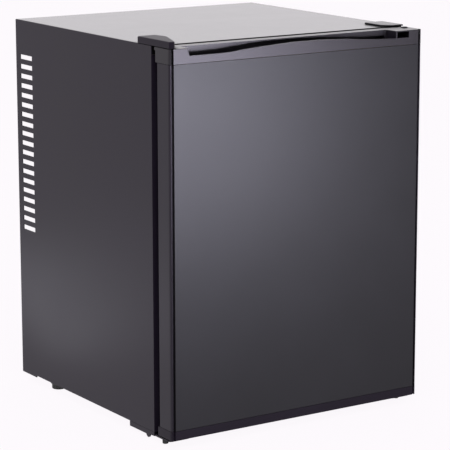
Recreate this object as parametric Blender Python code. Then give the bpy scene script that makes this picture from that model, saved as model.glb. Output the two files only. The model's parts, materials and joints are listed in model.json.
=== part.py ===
# Minibar fridge: steel cabinet, hinged left door, absorption cooling unit in an open rear recess.
# Metres, Z up, feet on z = 0, door towards -Y, footprint centred on the origin.

import math

import bmesh
import bpy
import numpy as np
from mathutils import Vector

# Overall sizes
WIDTH = 0.420
HEIGHT = 0.550
CABINET_DEPTH = 0.385
DOOR_REACH = 0.047

# Fits and sheet gauges
GAP = 0.0003
SHEET = 0.0012
SCREW_HOLE = 0.0023
LINER_SHEET = 0.002
HOLE_FIT = 0.0003

# Cabinet shell
PANEL_BOTTOM = 0.0142
TAB_BOTTOM = 0.0115
TAB_LENGTH = 0.045
FACE_RETURN = 0.010
EDGE_ROUND = 0.0011
FRAME_THICKNESS = 0.005
TOP_LIP = 0.012
SIDE_WALL = 0.035
TOP_WALL = 0.040
FLOOR_Z = 0.070
LINER_DEPTH = 0.255
RECESS_DEPTH = 0.086

# Side vents
VENT_COUNT = 19
VENT_PITCH = 0.01424
VENT_HEIGHT = 0.0068
VENT_LENGTH = 0.0355
VENT_FROM_BACK = 0.013
VENT_TOP_DROP = 0.0542

# Shelves and the ribs that carry them
SHELF_HEIGHTS = (0.205, 0.355)
RIB_REACH = 0.006
RIB_THICKNESS = 0.005
RIB_FRONT = 0.055
RIB_END_GAP = 0.005
STOP_LENGTH = 0.0045
STOP_HEIGHT = 0.006
SHELF_THICKNESS = 0.005
SHELF_FRONT = 0.078
SHELF_BACK_GAP = 0.010
SHELF_SLOTS = 11
SHELF_BORDER = 0.012

# Door
CAP_TOP_HEIGHT = 0.0205
CAP_BOTTOM_HEIGHT = 0.013
DOOR_BOTTOM = 0.0125
DOOR_TOP_DROP = 0.0005
CAP_REAR = 0.0105
CAP_LIP_REAR = 0.0080
CAP_LIP_HEIGHT = 0.0045
SKIN_REAR = 0.015
AXIS_INSET = 0.010
AXIS_REACH = 0.024
GASKET_INSET = 0.013
GASKET_WIDTH = 0.017
DYKE_INSET = 0.010
DYKE_WIDTH = 0.014
DYKE_REACH = 0.020

# Hinge
PIN_RADIUS = 0.0028
BUSH_RADIUS = 0.0047
BUSH_LENGTH = 0.013
HINGE_PLATE = 0.002

# Feet
REAR_FOOT_RADIUS = 0.0105
REAR_FOOT_FLARE = 0.0145
FRONT_FOOT_RADIUS = 0.0042
FRONT_FOOT_HEIGHT = 0.008
FRONT_FOOT_INSET = 0.010
FRONT_FOOT_REACH = 0.013
REAR_FOOT_INSET = 0.020
REAR_FOOT_FROM_BACK = 0.077
STUD_RADIUS = 0.0025

# Cooling unit
PIPE_RADIUS = 0.007
BOILER_INSET = 0.098
EXCHANGER_INSET = 0.060
CONDENSER_DROP = 0.075
UNIT_Y_FROM_BACK = 0.044

# Worked out from the sizes above
HALF = WIDTH / 2
FACE_Y = DOOR_REACH - (CABINET_DEPTH + DOOR_REACH) / 2
BACK_Y = FACE_Y + CABINET_DEPTH
FRONT_Y = FACE_Y - DOOR_REACH
INNER_HALF = HALF - SHEET - GAP
LINER_HALF = HALF - SIDE_WALL
LINER_TOP = HEIGHT - TOP_WALL
LINER_BACK = FACE_Y + LINER_DEPTH
BACK_PANEL_Y = BACK_Y - RECESS_DEPTH
BASE_TOP = PANEL_BOTTOM + SHEET
LID_UNDER = HEIGHT - SHEET
DOOR_TOP = HEIGHT - DOOR_TOP_DROP
CAP_TOP_Z = DOOR_TOP - CAP_TOP_HEIGHT
CAP_BOTTOM_Z = DOOR_BOTTOM + CAP_BOTTOM_HEIGHT
PANEL_LOW = CAP_BOTTOM_Z + GAP
PANEL_HIGH = CAP_TOP_Z - GAP
AXIS_X = AXIS_INSET - HALF
AXIS_Y = FACE_Y - AXIS_REACH
UNIT_Y = BACK_Y - UNIT_Y_FROM_BACK
FRONT_FOOT_X = HALF - FRONT_FOOT_INSET
REAR_FOOT_X = HALF - REAR_FOOT_INSET
BOILER_X = HALF - BOILER_INSET
EXCHANGER_X = EXCHANGER_INSET - HALF
CONDENSER_Z = HEIGHT - CONDENSER_DROP
AXIS = (AXIS_X, AXIS_Y, 0.0)


def clear_scene():
    """Remove every object that a new file starts with."""
    for item in list(bpy.data.objects):
        bpy.data.objects.remove(item, do_unlink=True)


def make_material(name, colour, roughness, metallic=0.0, alpha=1.0):
    """Plain surface with its colour, roughness and metallic value."""
    material = bpy.data.materials.new(name)
    material.use_nodes = True
    shader = material.node_tree.nodes["Principled BSDF"]
    shader.inputs["Base Color"].default_value = (*colour, 1.0)
    shader.inputs["Roughness"].default_value = roughness
    shader.inputs["Metallic"].default_value = metallic
    shader.inputs["Alpha"].default_value = alpha
    material.diffuse_color = (*colour, alpha)
    return material


def add_object(name, bm, material, origin=None):
    """Turn a bmesh into a named object whose origin sits at the given point."""
    bmesh.ops.recalc_face_normals(bm, faces=bm.faces)
    corners = np.array([vertex.co for vertex in bm.verts])
    if origin is None:
        origin = (corners.min(axis=0) + corners.max(axis=0)) / 2
    centre = Vector([float(value) for value in origin])
    bmesh.ops.translate(bm, verts=bm.verts, vec=-centre)
    mesh = bpy.data.meshes.new(name)
    bm.to_mesh(mesh)
    bm.free()
    item = bpy.data.objects.new(name, mesh)
    item.location = centre
    bpy.context.scene.collection.objects.link(item)
    if material is not None:
        mesh.materials.append(material)
    return item


def box_mesh(x_range, y_range, z_range):
    """Rectangular block between three pairs of limits."""
    bm = bmesh.new()
    bmesh.ops.create_cube(bm, size=1.0)
    low = Vector((min(x_range), min(y_range), min(z_range)))
    high = Vector((max(x_range), max(y_range), max(z_range)))
    for vertex in bm.verts:
        for axis in range(3):
            vertex.co[axis] = low[axis] + (vertex.co[axis] + 0.5) * (high[axis] - low[axis])
    return bm


def box(name, x_range, y_range, z_range, material=None, origin=None):
    """Rectangular block as an object."""
    return add_object(name, box_mesh(x_range, y_range, z_range), material, origin)


def prism(name, outline, low, high, material=None, origin=None, axis="Z"):
    """Flat outline pushed from low to high along one axis."""
    bm = bmesh.new()
    rings = []
    for level in (low, high):
        if axis == "Z":
            ring = [bm.verts.new((a, b, level)) for a, b in outline]
        elif axis == "Y":
            ring = [bm.verts.new((a, level, b)) for a, b in outline]
        else:
            ring = [bm.verts.new((level, a, b)) for a, b in outline]
        rings.append(ring)
    bm.faces.new(rings[0])
    bm.faces.new(rings[1])
    count = len(outline)
    for index in range(count):
        after = (index + 1) % count
        bm.faces.new((rings[0][index], rings[0][after], rings[1][after], rings[1][index]))
    return add_object(name, bm, material, origin)


def turned(name, profile, centre, material=None, sides=32, axis="Z", origin=None):
    """Solid of revolution from (distance along the axis, radius) pairs; ends close on the axis."""
    bm = bmesh.new()
    angles = [2 * math.pi * step / sides for step in range(sides)]

    def spot(along, radius, angle):
        across = (radius * math.cos(angle), radius * math.sin(angle))
        if axis == "Z":
            return (centre[0] + across[0], centre[1] + across[1], along)
        if axis == "X":
            return (along, centre[0] + across[0], centre[1] + across[1])
        return (centre[0] + across[0], along, centre[1] + across[1])

    rings = []
    for along, radius in profile:
        rings.append([bm.verts.new(spot(along, radius, angle)) for angle in angles])
    for first, second in zip(rings[:-1], rings[1:]):
        for step in range(sides):
            after = (step + 1) % sides
            bm.faces.new((first[step], first[after], second[after], second[step]))
    bm.faces.new(rings[0])
    bm.faces.new(rings[-1])
    item = add_object(name, bm, material, origin)
    smooth(item)
    return item


def ring_tube(name, inner, outer, low, high, centre, material=None, sides=32, origin=None):
    """Upright sleeve with a bore right through it."""
    bm = bmesh.new()
    angles = [2 * math.pi * step / sides for step in range(sides)]
    rings = []
    for level, radius in ((low, inner), (low, outer), (high, outer), (high, inner)):
        rings.append([
            bm.verts.new((centre[0] + radius * math.cos(a), centre[1] + radius * math.sin(a), level))
            for a in angles
        ])
    for index in range(4):
        first = rings[index]
        second = rings[(index + 1) % 4]
        for step in range(sides):
            after = (step + 1) % sides
            bm.faces.new((first[step], first[after], second[after], second[step]))
    item = add_object(name, bm, material, origin)
    smooth(item)
    return item


def swept_tube(name, path, radius, material, sides=12):
    """Round pipe along a list of points, closed at both ends."""
    points = [Vector(point) for point in path]
    bm = bmesh.new()
    rings = []
    across = None
    for index, point in enumerate(points):
        before = points[max(index - 1, 0)]
        after = points[min(index + 1, len(points) - 1)]
        ahead = (after - before).normalized()
        if across is None:
            across = ahead.cross(Vector((0.0, 1.0, 0.0))).normalized()
        across = (across - ahead * across.dot(ahead)).normalized()
        upward = ahead.cross(across)
        ring = []
        for step in range(sides):
            angle = 2 * math.pi * step / sides
            ring.append(bm.verts.new(point + radius * (math.cos(angle) * across + math.sin(angle) * upward)))
        rings.append(ring)
    for first, second in zip(rings[:-1], rings[1:]):
        for step in range(sides):
            after = (step + 1) % sides
            bm.faces.new((first[step], first[after], second[after], second[step]))
    bm.faces.new(rings[0])
    bm.faces.new(rings[-1])
    item = add_object(name, bm, material)
    smooth(item)
    return item


def smooth(item, angle=35.0):
    """Shade round faces smooth and keep the sharp edges sharp."""
    item.data.shade_smooth()
    item.data.set_sharp_from_angle(angle=math.radians(angle))


def combine(target, tools, operation="DIFFERENCE"):
    """Apply exact booleans to the target and remove the tools."""
    for tool in tools:
        modifier = target.modifiers.new("shape", "BOOLEAN")
        modifier.operation = operation
        modifier.solver = "EXACT"
        modifier.object = tool
        bpy.context.view_layer.update()
        graph = bpy.context.evaluated_depsgraph_get()
        result = bpy.data.meshes.new_from_object(target.evaluated_get(graph))
        target.modifiers.clear()
        old = target.data
        result.name = target.name
        target.data = result
        bpy.data.meshes.remove(old)
        bpy.data.objects.remove(tool, do_unlink=True)
    return target


def cut(target, *tools):
    """Take the tools away from the target."""
    return combine(target, tools, "DIFFERENCE")


def fuse(target, *tools):
    """Add the tools to the target as one solid."""
    return combine(target, tools, "UNION")


def round_edges(item, width, chosen, segments=2):
    """Round the edges for which chosen(middle, direction) is true, in world coordinates."""
    bm = bmesh.new()
    bm.from_mesh(item.data)
    edges = []
    for edge in bm.edges:
        start = edge.verts[0].co + item.location
        end = edge.verts[1].co + item.location
        if chosen((start + end) / 2, (end - start).normalized()):
            edges.append(edge)
    bmesh.ops.bevel(bm, geom=edges, offset=width, segments=segments, profile=0.5, affect="EDGES")
    bm.to_mesh(item.data)
    bm.free()
    smooth(item)
    return item


def mirrored(outline):
    """The same outline on the other side of the middle plane."""
    return [(-x, y) for x, y in reversed(outline)]


def face_y(reach):
    """World y of a point this far behind the cabinet face."""
    return FACE_Y + reach


clear_scene()

painted_steel = make_material("painted_steel", (0.052, 0.049, 0.059), 0.42, 0.1)
top_steel = make_material("top_steel", (0.060, 0.057, 0.066), 0.35, 0.1)
door_steel = make_material("door_steel", (0.056, 0.055, 0.064), 0.38, 0.1)
black_plastic = make_material("black_plastic", (0.030, 0.029, 0.032), 0.40)
hinge_plastic = make_material("hinge_plastic", (0.022, 0.021, 0.024), 0.38)
liner_plastic = make_material("liner_plastic", (0.60, 0.61, 0.62), 0.45)
rack_plastic = make_material("rack_plastic", (0.72, 0.74, 0.76), 0.30)
shelf_wire = make_material("shelf_wire", (0.70, 0.71, 0.72), 0.35)
gasket_rubber = make_material("gasket_rubber", (0.018, 0.018, 0.019), 0.70)
foam_yellow = make_material("foam_yellow", (0.62, 0.52, 0.30), 0.90)
zinc_steel = make_material("zinc_steel", (0.45, 0.46, 0.47), 0.40, 1.0)
black_pipe = make_material("black_pipe", (0.020, 0.020, 0.021), 0.55)
aluminium = make_material("aluminium", (0.62, 0.63, 0.64), 0.38, 1.0)
clear_lens = make_material("clear_lens", (0.85, 0.86, 0.84), 0.25)
foot_rubber = make_material("foot_rubber", (0.020, 0.020, 0.021), 0.65)


# Steel shell

def screw_spots():
    """Plan positions of the two screws that hold the upper hinge plate."""
    return ((0.012 - HALF, face_y(0.010)), (0.016 - HALF, face_y(0.024)))


def make_top_panel():
    """Lid between the side panels, with a turned-down front lip."""
    item = box("top_panel", (-INNER_HALF, INNER_HALF), (FACE_Y, BACK_Y), (LID_UNDER, HEIGHT), top_steel)
    lip = box("lip", (-INNER_HALF, INNER_HALF), (FACE_Y, FACE_Y + SHEET), (HEIGHT - TOP_LIP, HEIGHT - SHEET / 2))
    fuse(item, lip)
    for spot in screw_spots():
        cut(item, turned("hole", ((LID_UNDER - 0.01, SCREW_HOLE), (HEIGHT + 0.01, SCREW_HOLE)), spot, sides=16))
    return item


def make_side_panel(name, side):
    """Side sheet with its face return, rear tab and stack of vent slots."""
    outline = [
        (FACE_Y, PANEL_BOTTOM),
        (BACK_Y - TAB_LENGTH, PANEL_BOTTOM),
        (BACK_Y - TAB_LENGTH + 0.001, TAB_BOTTOM),
        (BACK_Y, TAB_BOTTOM),
        (BACK_Y, HEIGHT),
        (FACE_Y, HEIGHT),
    ]
    outer = side * HALF
    inner = side * (HALF - SHEET)
    item = prism(name, outline, min(outer, inner), max(outer, inner), painted_steel, axis="X")
    round_edges(
        item,
        EDGE_ROUND,
        lambda middle, way: abs(middle.x - outer) < 1e-5 and middle.z > HEIGHT - 1e-4 and abs(way.y) > 0.9,
        segments=3,
    )
    flange_end = side * (HALF - FACE_RETURN)
    flange = box(
        "flange",
        (side * (HALF - SHEET / 2), flange_end),
        (FACE_Y, FACE_Y + SHEET),
        (PANEL_BOTTOM, HEIGHT - TOP_LIP - GAP),
    )
    fuse(item, flange)
    slot_end = BACK_Y - VENT_FROM_BACK
    for index in range(VENT_COUNT):
        middle = HEIGHT - VENT_TOP_DROP - index * VENT_PITCH
        slot = box(
            "slot",
            (side * (HALF + 0.01), side * (HALF - 0.01)),
            (slot_end - VENT_LENGTH, slot_end),
            (middle - VENT_HEIGHT / 2, middle + VENT_HEIGHT / 2),
        )
        cut(item, slot)
    return item


def make_base_panel():
    """Bottom sheet with air slots under the rear recess and holes for the studs."""
    front = FACE_Y + SHEET + GAP
    item = box("base_panel", (-INNER_HALF, INNER_HALF), (front, BACK_Y), (PANEL_BOTTOM, BASE_TOP), painted_steel)
    slot_width = 0.010
    for index in range(8):
        middle = (index - 3.5) * 0.032
        slot = box(
            "slot",
            (middle - slot_width / 2, middle + slot_width / 2),
            (BACK_Y - 0.062, BACK_Y - 0.012),
            (PANEL_BOTTOM - 0.01, BASE_TOP + 0.01),
        )
        cut(item, slot)
    for side in (-1, 1):
        spot = (side * REAR_FOOT_X, BACK_Y - REAR_FOOT_FROM_BACK)
        reach = STUD_RADIUS + HOLE_FIT
        cut(item, turned("hole", ((0.0, reach), (0.05, reach)), spot, sides=24))
        cut(item, turned("hole", ((0.0, SCREW_HOLE), (0.05, SCREW_HOLE)), bracket_screw_spot(side), sides=16))
    return item


BRACKET_SCREW_INSET = 0.020


def bracket_screw_spot(side):
    """Plan position of the screw that holds a lower bracket."""
    return (side * (HALF - BRACKET_SCREW_INSET), face_y(0.042))


BLOCK_HALF = 0.020
BLOCK_MIDDLE_Z = LINER_TOP - 0.060
DRAIN_X = 0.045
DRAIN_Z = BLOCK_MIDDLE_Z - 0.0675
DRAIN_RADIUS = 0.004
REED_LENGTH = 0.025
REED_X = LINER_HALF - REED_LENGTH
REED_SIZE = 0.008


def wall_openings(extra):
    """Cutters for the conductor block and the drain through the rear wall."""
    block = box(
        "block_hole",
        (-BLOCK_HALF - extra, BLOCK_HALF + extra),
        (LINER_BACK - 0.02, BACK_PANEL_Y + 0.02),
        (BLOCK_MIDDLE_Z - BLOCK_HALF - extra, BLOCK_MIDDLE_Z + BLOCK_HALF + extra),
    )
    reach = DRAIN_RADIUS + extra
    ends = ((LINER_BACK - 0.02, reach), (BACK_PANEL_Y + 0.02, reach))
    drain = turned("drain_hole", ends, (DRAIN_X, DRAIN_Z), sides=24, axis="Y")
    return block, drain


def make_back_panel():
    """Sheet that closes the insulation in front of the open recess."""
    item = box(
        "back_panel",
        (-INNER_HALF, INNER_HALF),
        (BACK_PANEL_Y, BACK_PANEL_Y + SHEET),
        (BASE_TOP + GAP, LID_UNDER - GAP),
        painted_steel,
    )
    return cut(item, *wall_openings(GAP))


def make_front_frame():
    """Flat plastic frame round the mouth of the cabinet."""
    outer = HALF - FACE_RETURN - GAP
    item = box(
        "front_frame",
        (-outer, outer),
        (FACE_Y, FACE_Y + FRAME_THICKNESS),
        (BASE_TOP + GAP, HEIGHT - TOP_LIP - GAP),
        black_plastic,
    )
    mouth = box(
        "mouth",
        (-LINER_HALF, LINER_HALF),
        (FACE_Y - 0.01, FACE_Y + 0.02),
        (FLOOR_Z, LINER_TOP),
    )
    return cut(item, mouth)


def rib_blocks():
    """Ribs with stop bumps on both side walls."""
    parts = []
    for side in (-1, 1):
        wall = side * (LINER_HALF + LINER_SHEET / 2)
        tip = side * (LINER_HALF - RIB_REACH)
        for height in SHELF_HEIGHTS:
            outline = [
                (face_y(RIB_FRONT), height),
                (LINER_BACK - RIB_END_GAP, height),
                (LINER_BACK - RIB_END_GAP, height + RIB_THICKNESS),
                (face_y(RIB_FRONT + STOP_LENGTH), height + RIB_THICKNESS),
                (face_y(RIB_FRONT + STOP_LENGTH), height + RIB_THICKNESS + STOP_HEIGHT),
                (face_y(RIB_FRONT), height + RIB_THICKNESS + STOP_HEIGHT),
            ]
            parts.append(prism("rib", outline, min(wall, tip), max(wall, tip), axis="X"))
    return parts


def make_liner():
    """Moulded inner box, open to the front, with shelf ribs."""
    front = FACE_Y + FRAME_THICKNESS + GAP
    item = box(
        "inner_liner",
        (-LINER_HALF - LINER_SHEET, LINER_HALF + LINER_SHEET),
        (front, LINER_BACK + LINER_SHEET),
        (FLOOR_Z - LINER_SHEET, LINER_TOP + LINER_SHEET),
        liner_plastic,
    )
    hollow = box(
        "hollow",
        (-LINER_HALF, LINER_HALF),
        (front - 0.01, LINER_BACK),
        (FLOOR_Z, LINER_TOP),
    )
    cut(item, hollow)
    fuse(item, *rib_blocks())
    return cut(item, *wall_openings(GAP))


def make_foam():
    """Insulation between the liner and the steel shell."""
    front = FACE_Y + FRAME_THICKNESS + GAP
    item = box(
        "insulation_foam",
        (-INNER_HALF, INNER_HALF),
        (front, BACK_PANEL_Y - GAP),
        (BASE_TOP + GAP, LID_UNDER - GAP),
        foam_yellow,
    )
    reach = LINER_SHEET + GAP
    hollow = box(
        "hollow",
        (-LINER_HALF - reach, LINER_HALF + reach),
        (front - 0.01, LINER_BACK + reach),
        (FLOOR_Z - reach, LINER_TOP + reach),
    )
    pocket = box(
        "pocket",
        (REED_X - GAP, REED_X + REED_LENGTH + GAP),
        (front - 0.01, front + REED_SIZE + GAP),
        (LINER_TOP + 0.012 - GAP, LINER_TOP + 0.012 + REED_SIZE + GAP),
    )
    cut(item, hollow, pocket, *wall_openings(GAP))
    for spot in screw_spots():
        cut(item, turned("hole", ((HEIGHT - 0.015, SCREW_HOLE), (HEIGHT + 0.01, SCREW_HOLE)), spot, sides=16))
    for side in (-1, 1):
        cut(item, turned("hole", ((0.0, SCREW_HOLE), (BASE_TOP + 0.0071, SCREW_HOLE)), bracket_screw_spot(side), sides=16))
    return item


def make_reed_sensor():
    """Small magnetic switch behind the frame that tells the lamp the door is shut."""
    front = FACE_Y + FRAME_THICKNESS + GAP
    low = LINER_TOP + 0.012
    return box(
        "door_reed_sensor",
        (REED_X, REED_X + REED_LENGTH),
        (front, front + REED_SIZE),
        (low, low + REED_SIZE),
        black_plastic,
    )


make_top_panel()
make_side_panel("left_side_panel", -1)
make_side_panel("right_side_panel", 1)
make_base_panel()
make_back_panel()
make_front_frame()
make_liner()
make_foam()
make_reed_sensor()


# Feet and lower brackets

BRACKET_WIDTH = 0.038
BRACKET_NOSE = 0.036
BRACKET_TAIL = 0.066
BRACKET_LOW = FRONT_FOOT_HEIGHT + GAP
BRACKET_TOP = BRACKET_LOW + 0.0025
FLANGE_LOW = 0.0068
FLANGE_DROP_REACH = 0.0165
FLANGE_DROP_RADIUS = 0.0052


def lip_outline():
    """Side flange of a lower bracket, with a rounded drop behind its front end."""
    top = PANEL_BOTTOM - GAP
    points = [(face_y(BRACKET_TAIL), top), (face_y(BRACKET_TAIL), FLANGE_LOW)]
    for step in range(9):
        angle = math.pi * (1.08 + 0.92 * step / 8)
        y = face_y(FLANGE_DROP_REACH) - FLANGE_DROP_RADIUS * math.cos(angle)
        points.append((y, FLANGE_LOW + 0.0014 + FLANGE_DROP_RADIUS * math.sin(angle)))
    return points + [(face_y(0.0005), BRACKET_LOW), (face_y(0.0005), top)]


def make_lower_bracket(name, side, with_pin):
    """Plate under the front corner that carries a foot and, on the hinge side, the lower pin."""
    inner = side * (HALF - BRACKET_WIDTH)
    outer = side * (HALF - 0.0015)
    item = box(name, (inner, outer), (face_y(-BRACKET_NOSE), face_y(BRACKET_TAIL)), (BRACKET_LOW, BRACKET_TOP), black_pipe)
    nose = face_y(-BRACKET_NOSE)
    round_edges(
        item,
        0.006,
        lambda middle, way: abs(way.z) > 0.9 and abs(middle.y - nose) < 1e-5,
        segments=3,
    )
    pad = box("pad", (inner, outer), (face_y(0.004), face_y(BRACKET_TAIL)), (BRACKET_TOP - 0.001, PANEL_BOTTOM - GAP))
    lip = prism("lip", lip_outline(), side * (HALF - 0.002), side * HALF, axis="X")
    fuse(item, pad, lip)
    foot_spot = (side * FRONT_FOOT_X, face_y(-FRONT_FOOT_REACH))
    reach = STUD_RADIUS + HOLE_FIT
    cut(item, turned("hole", ((0.0, reach), (0.03, reach)), foot_spot, sides=24))
    cut(item, turned("hole", ((0.0, SCREW_HOLE), (0.03, SCREW_HOLE)), bracket_screw_spot(side), sides=16))
    if with_pin:
        reach = PIN_RADIUS + HOLE_FIT
        cut(item, turned("hole", ((0.0, reach), (0.03, reach)), (AXIS_X, AXIS_Y), sides=24))
    return item


def make_front_foot(name, side):
    """Moulded foot under a lower bracket."""
    profile = (
        (0.0, FRONT_FOOT_RADIUS - 0.001),
        (0.001, FRONT_FOOT_RADIUS),
        (FRONT_FOOT_HEIGHT, FRONT_FOOT_RADIUS),
        (FRONT_FOOT_HEIGHT, STUD_RADIUS),
        (BRACKET_TOP + 0.0008, STUD_RADIUS),
    )
    return turned(name, profile, (side * FRONT_FOOT_X, face_y(-FRONT_FOOT_REACH)), foot_rubber)


def make_rear_foot(name, side):
    """Flared foot under the base at the back."""
    top = PANEL_BOTTOM - GAP
    profile = (
        (0.0, REAR_FOOT_RADIUS - 0.001),
        (0.001, REAR_FOOT_RADIUS),
        (0.006, REAR_FOOT_RADIUS),
        (top - 0.003, REAR_FOOT_FLARE),
        (top, REAR_FOOT_FLARE),
        (top, STUD_RADIUS),
        (BASE_TOP + 0.007, STUD_RADIUS),
    )
    return turned(name, profile, (side * REAR_FOOT_X, BACK_Y - REAR_FOOT_FROM_BACK), foot_rubber)


def make_screw(name, spot, head_low, head_high, shank_end, head_up=True):
    """Round-headed screw standing upright."""
    head = 0.0036
    shank = 0.002
    if head_up:
        profile = (
            (shank_end, shank * 0.6),
            (shank_end + 0.001, shank),
            (head_low, shank),
            (head_low, head),
            (head_high - 0.0008, head),
            (head_high, head * 0.6),
        )
    else:
        profile = (
            (head_low, head * 0.6),
            (head_low + 0.0008, head),
            (head_high, head),
            (head_high, shank),
            (shank_end - 0.001, shank),
            (shank_end, shank * 0.6),
        )
    return turned(name, profile, spot, zinc_steel, sides=20)


make_lower_bracket("bottom_hinge_bracket", -1, True)
make_lower_bracket("right_foot_bracket", 1, False)
make_front_foot("front_left_foot", -1)
make_front_foot("front_right_foot", 1)
make_rear_foot("rear_left_foot", -1)
make_rear_foot("rear_right_foot", 1)
make_screw("left_bracket_screw", bracket_screw_spot(-1), 0.0056, BRACKET_LOW - GAP, 0.021, head_up=False)
make_screw("right_bracket_screw", bracket_screw_spot(1), 0.0056, BRACKET_LOW - GAP, 0.021, head_up=False)


# Upper hinge and covers

PLATE_LOW = HEIGHT + GAP
PLATE_TOP = PLATE_LOW + HINGE_PLATE
COVER_TOP = 0.0095
COVER_WALL = 0.0013
COVER_OUTLINE = (
    (0.0000, 0.035),
    (0.0000, -0.0455),
    (0.0020, -0.0470),
    (0.0070, -0.0470),
    (0.0115, -0.0410),
    (0.0320, 0.0110),
    (0.0280, 0.0350),
)
COVER_HOLLOW = (
    (0.0013, 0.0337),
    (0.0013, -0.0450),
    (0.0064, -0.0450),
    (0.0101, -0.0405),
    (0.0305, 0.0112),
    (0.0269, 0.0337),
)
PLATE_OUTLINE = (
    (0.0022, 0.031),
    (0.0022, -0.031),
    (0.0105, -0.031),
    (0.0138, -0.028),
    (0.0285, 0.0110),
    (0.0255, 0.031),
)


def from_side(outline):
    """Outline given as distances in from the left side and behind the cabinet face."""
    return [(inset - HALF, face_y(y)) for inset, y in outline]


def make_top_bracket():
    """Hinge plate screwed on the lid and reaching out over the door."""
    item = prism("top_hinge_bracket", from_side(PLATE_OUTLINE), PLATE_LOW, PLATE_TOP, zinc_steel)
    reach = PIN_RADIUS + HOLE_FIT
    cut(item, turned("hole", ((PLATE_LOW - 0.01, reach), (PLATE_TOP + 0.01, reach)), (AXIS_X, AXIS_Y), sides=24))
    for spot in screw_spots():
        cut(item, turned("hole", ((PLATE_LOW - 0.01, SCREW_HOLE), (PLATE_TOP + 0.01, SCREW_HOLE)), spot, sides=16))
    return item


def make_left_cover():
    """Hollow cap over the hinge plate with its upper edge chamfered."""
    top = HEIGHT + COVER_TOP
    item = prism("left_hinge_cover", from_side(COVER_OUTLINE), HEIGHT + GAP, top, hinge_plastic)
    round_edges(
        item,
        0.0016,
        lambda middle, way: middle.z > top - 1e-5,
        segments=2,
    )
    hollow = prism("hollow", from_side(COVER_HOLLOW), HEIGHT - 0.01, top - COVER_WALL)
    return cut(item, hollow)


def make_right_cover():
    """Low plate that hides the spare hinge holes on the right."""
    outline = mirrored(from_side((
        (0.0005, 0.045),
        (0.0005, -0.005),
        (0.0200, -0.005),
        (0.0320, 0.006),
        (0.0320, 0.045),
    )))
    top = HEIGHT + 0.0024
    item = prism("right_hinge_cover", outline, HEIGHT + GAP, top, hinge_plastic)
    return round_edges(item, 0.0008, lambda middle, way: middle.z > top - 1e-5, segments=2)


def make_pins():
    """Upper and lower hinge pins on the door axis."""
    head = 0.0036
    upper = (
        (DOOR_TOP - BUSH_LENGTH - 0.001, PIN_RADIUS * 0.7),
        (DOOR_TOP - BUSH_LENGTH, PIN_RADIUS),
        (PLATE_TOP + GAP, PIN_RADIUS),
        (PLATE_TOP + GAP, head),
        (PLATE_TOP + 0.0018, head),
        (PLATE_TOP + 0.0022, head * 0.8),
    )
    turned("top_hinge_pin", upper, (AXIS_X, AXIS_Y), zinc_steel, sides=24)
    lower = (
        (BRACKET_LOW - 0.0012, PIN_RADIUS),
        (BRACKET_TOP + GAP, PIN_RADIUS),
        (BRACKET_TOP + GAP, head),
        (DOOR_BOTTOM - GAP, head),
        (DOOR_BOTTOM - GAP, PIN_RADIUS),
        (CAP_BOTTOM_Z - 0.0035, PIN_RADIUS),
        (CAP_BOTTOM_Z - 0.0025, PIN_RADIUS * 0.7),
    )
    turned("bottom_hinge_pin", lower, (AXIS_X, AXIS_Y), zinc_steel, sides=24)


make_top_bracket()
make_left_cover()
make_right_cover()
make_pins()
make_screw("front_hinge_screw", screw_spots()[0], PLATE_TOP + GAP, PLATE_TOP + 0.0024, HEIGHT - 0.013)
make_screw("rear_hinge_screw", screw_spots()[1], PLATE_TOP + GAP, PLATE_TOP + 0.0024, HEIGHT - 0.013)


# Door

STILE_FRONT = (
    (0.0000, 0.0058),
    (0.0004, 0.0026),
    (0.0011, 0.0009),
    (0.0019, 0.0005),
    (0.0026, 0.0010),
    (0.0030, 0.0028),
    (0.0053, 0.0028),
    (0.0055, 0.0015),
    (0.0140, 0.0015),
    (0.0140, 0.0027),
    (0.0064, 0.0027),
    (0.0061, 0.0040),
    (0.0024, 0.0040),
    (0.0016, 0.0058),
    (0.0012, 0.0075),
)
STILE_RETURN = 0.010
PANEL_INSET = 0.0058
CORE_INSET = 0.014
POCKET_FLOOR = 0.0030
POCKET_FRONT = 0.0450
POCKET_RIM = 0.0250
POCKET_REAR = 0.0160
POCKET_LEFT_INSET = 0.0305
POCKET_RIGHT_INSET = 0.0490
POCKET_END_INSET = 0.0455
POCKET_TIP_INSET = 0.0160
SIDE_CELL_INSETS = (0.0435, 0.0228)
SIDE_CELL_ROOF = 0.0015
SIDE_CELL_REAR = 0.0180
LIP_THICKNESS = 0.0020
STRIP_THICKNESS = 0.0016
# Along the pocket from its left end (0) to its right tip (1), and down from the door's top
NOTCH_OUTLINE = (
    (-0.0129, -0.0105),
    (-0.0115, 0.0000),
    (0.0019, 0.0104),
    (0.1084, 0.0104),
    (0.1727, 0.0100),
    (0.2316, 0.0079),
    (0.3173, 0.0059),
    (0.4431, 0.0035),
    (0.5743, 0.0035),
    (0.6948, 0.0055),
    (0.7671, 0.0079),
    (0.8286, 0.0092),
    (0.8742, 0.0099),
    (0.9839, 0.0104),
    (0.9952, 0.0083),
    (0.9963, -0.0105),
)
LIP_OUTLINE = (
    (0.0054, 0.0080),
    (0.0388, 0.0076),
    (0.1459, 0.0072),
    (0.2129, 0.0056),
    (0.2584, 0.0044),
    (0.3012, 0.0025),
    (0.4003, 0.0018),
    (0.5288, 0.0018),
    (0.6011, 0.0027),
    (0.6680, 0.0039),
    (0.8126, 0.0072),
    (0.8688, 0.0079),
    (0.9197, 0.0081),
)
POCKET_LEFT = POCKET_LEFT_INSET - HALF
POCKET_RIGHT = HALF - POCKET_RIGHT_INSET
POCKET_END = HALF - POCKET_END_INSET
POCKET_TIP = HALF - POCKET_TIP_INSET


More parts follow.
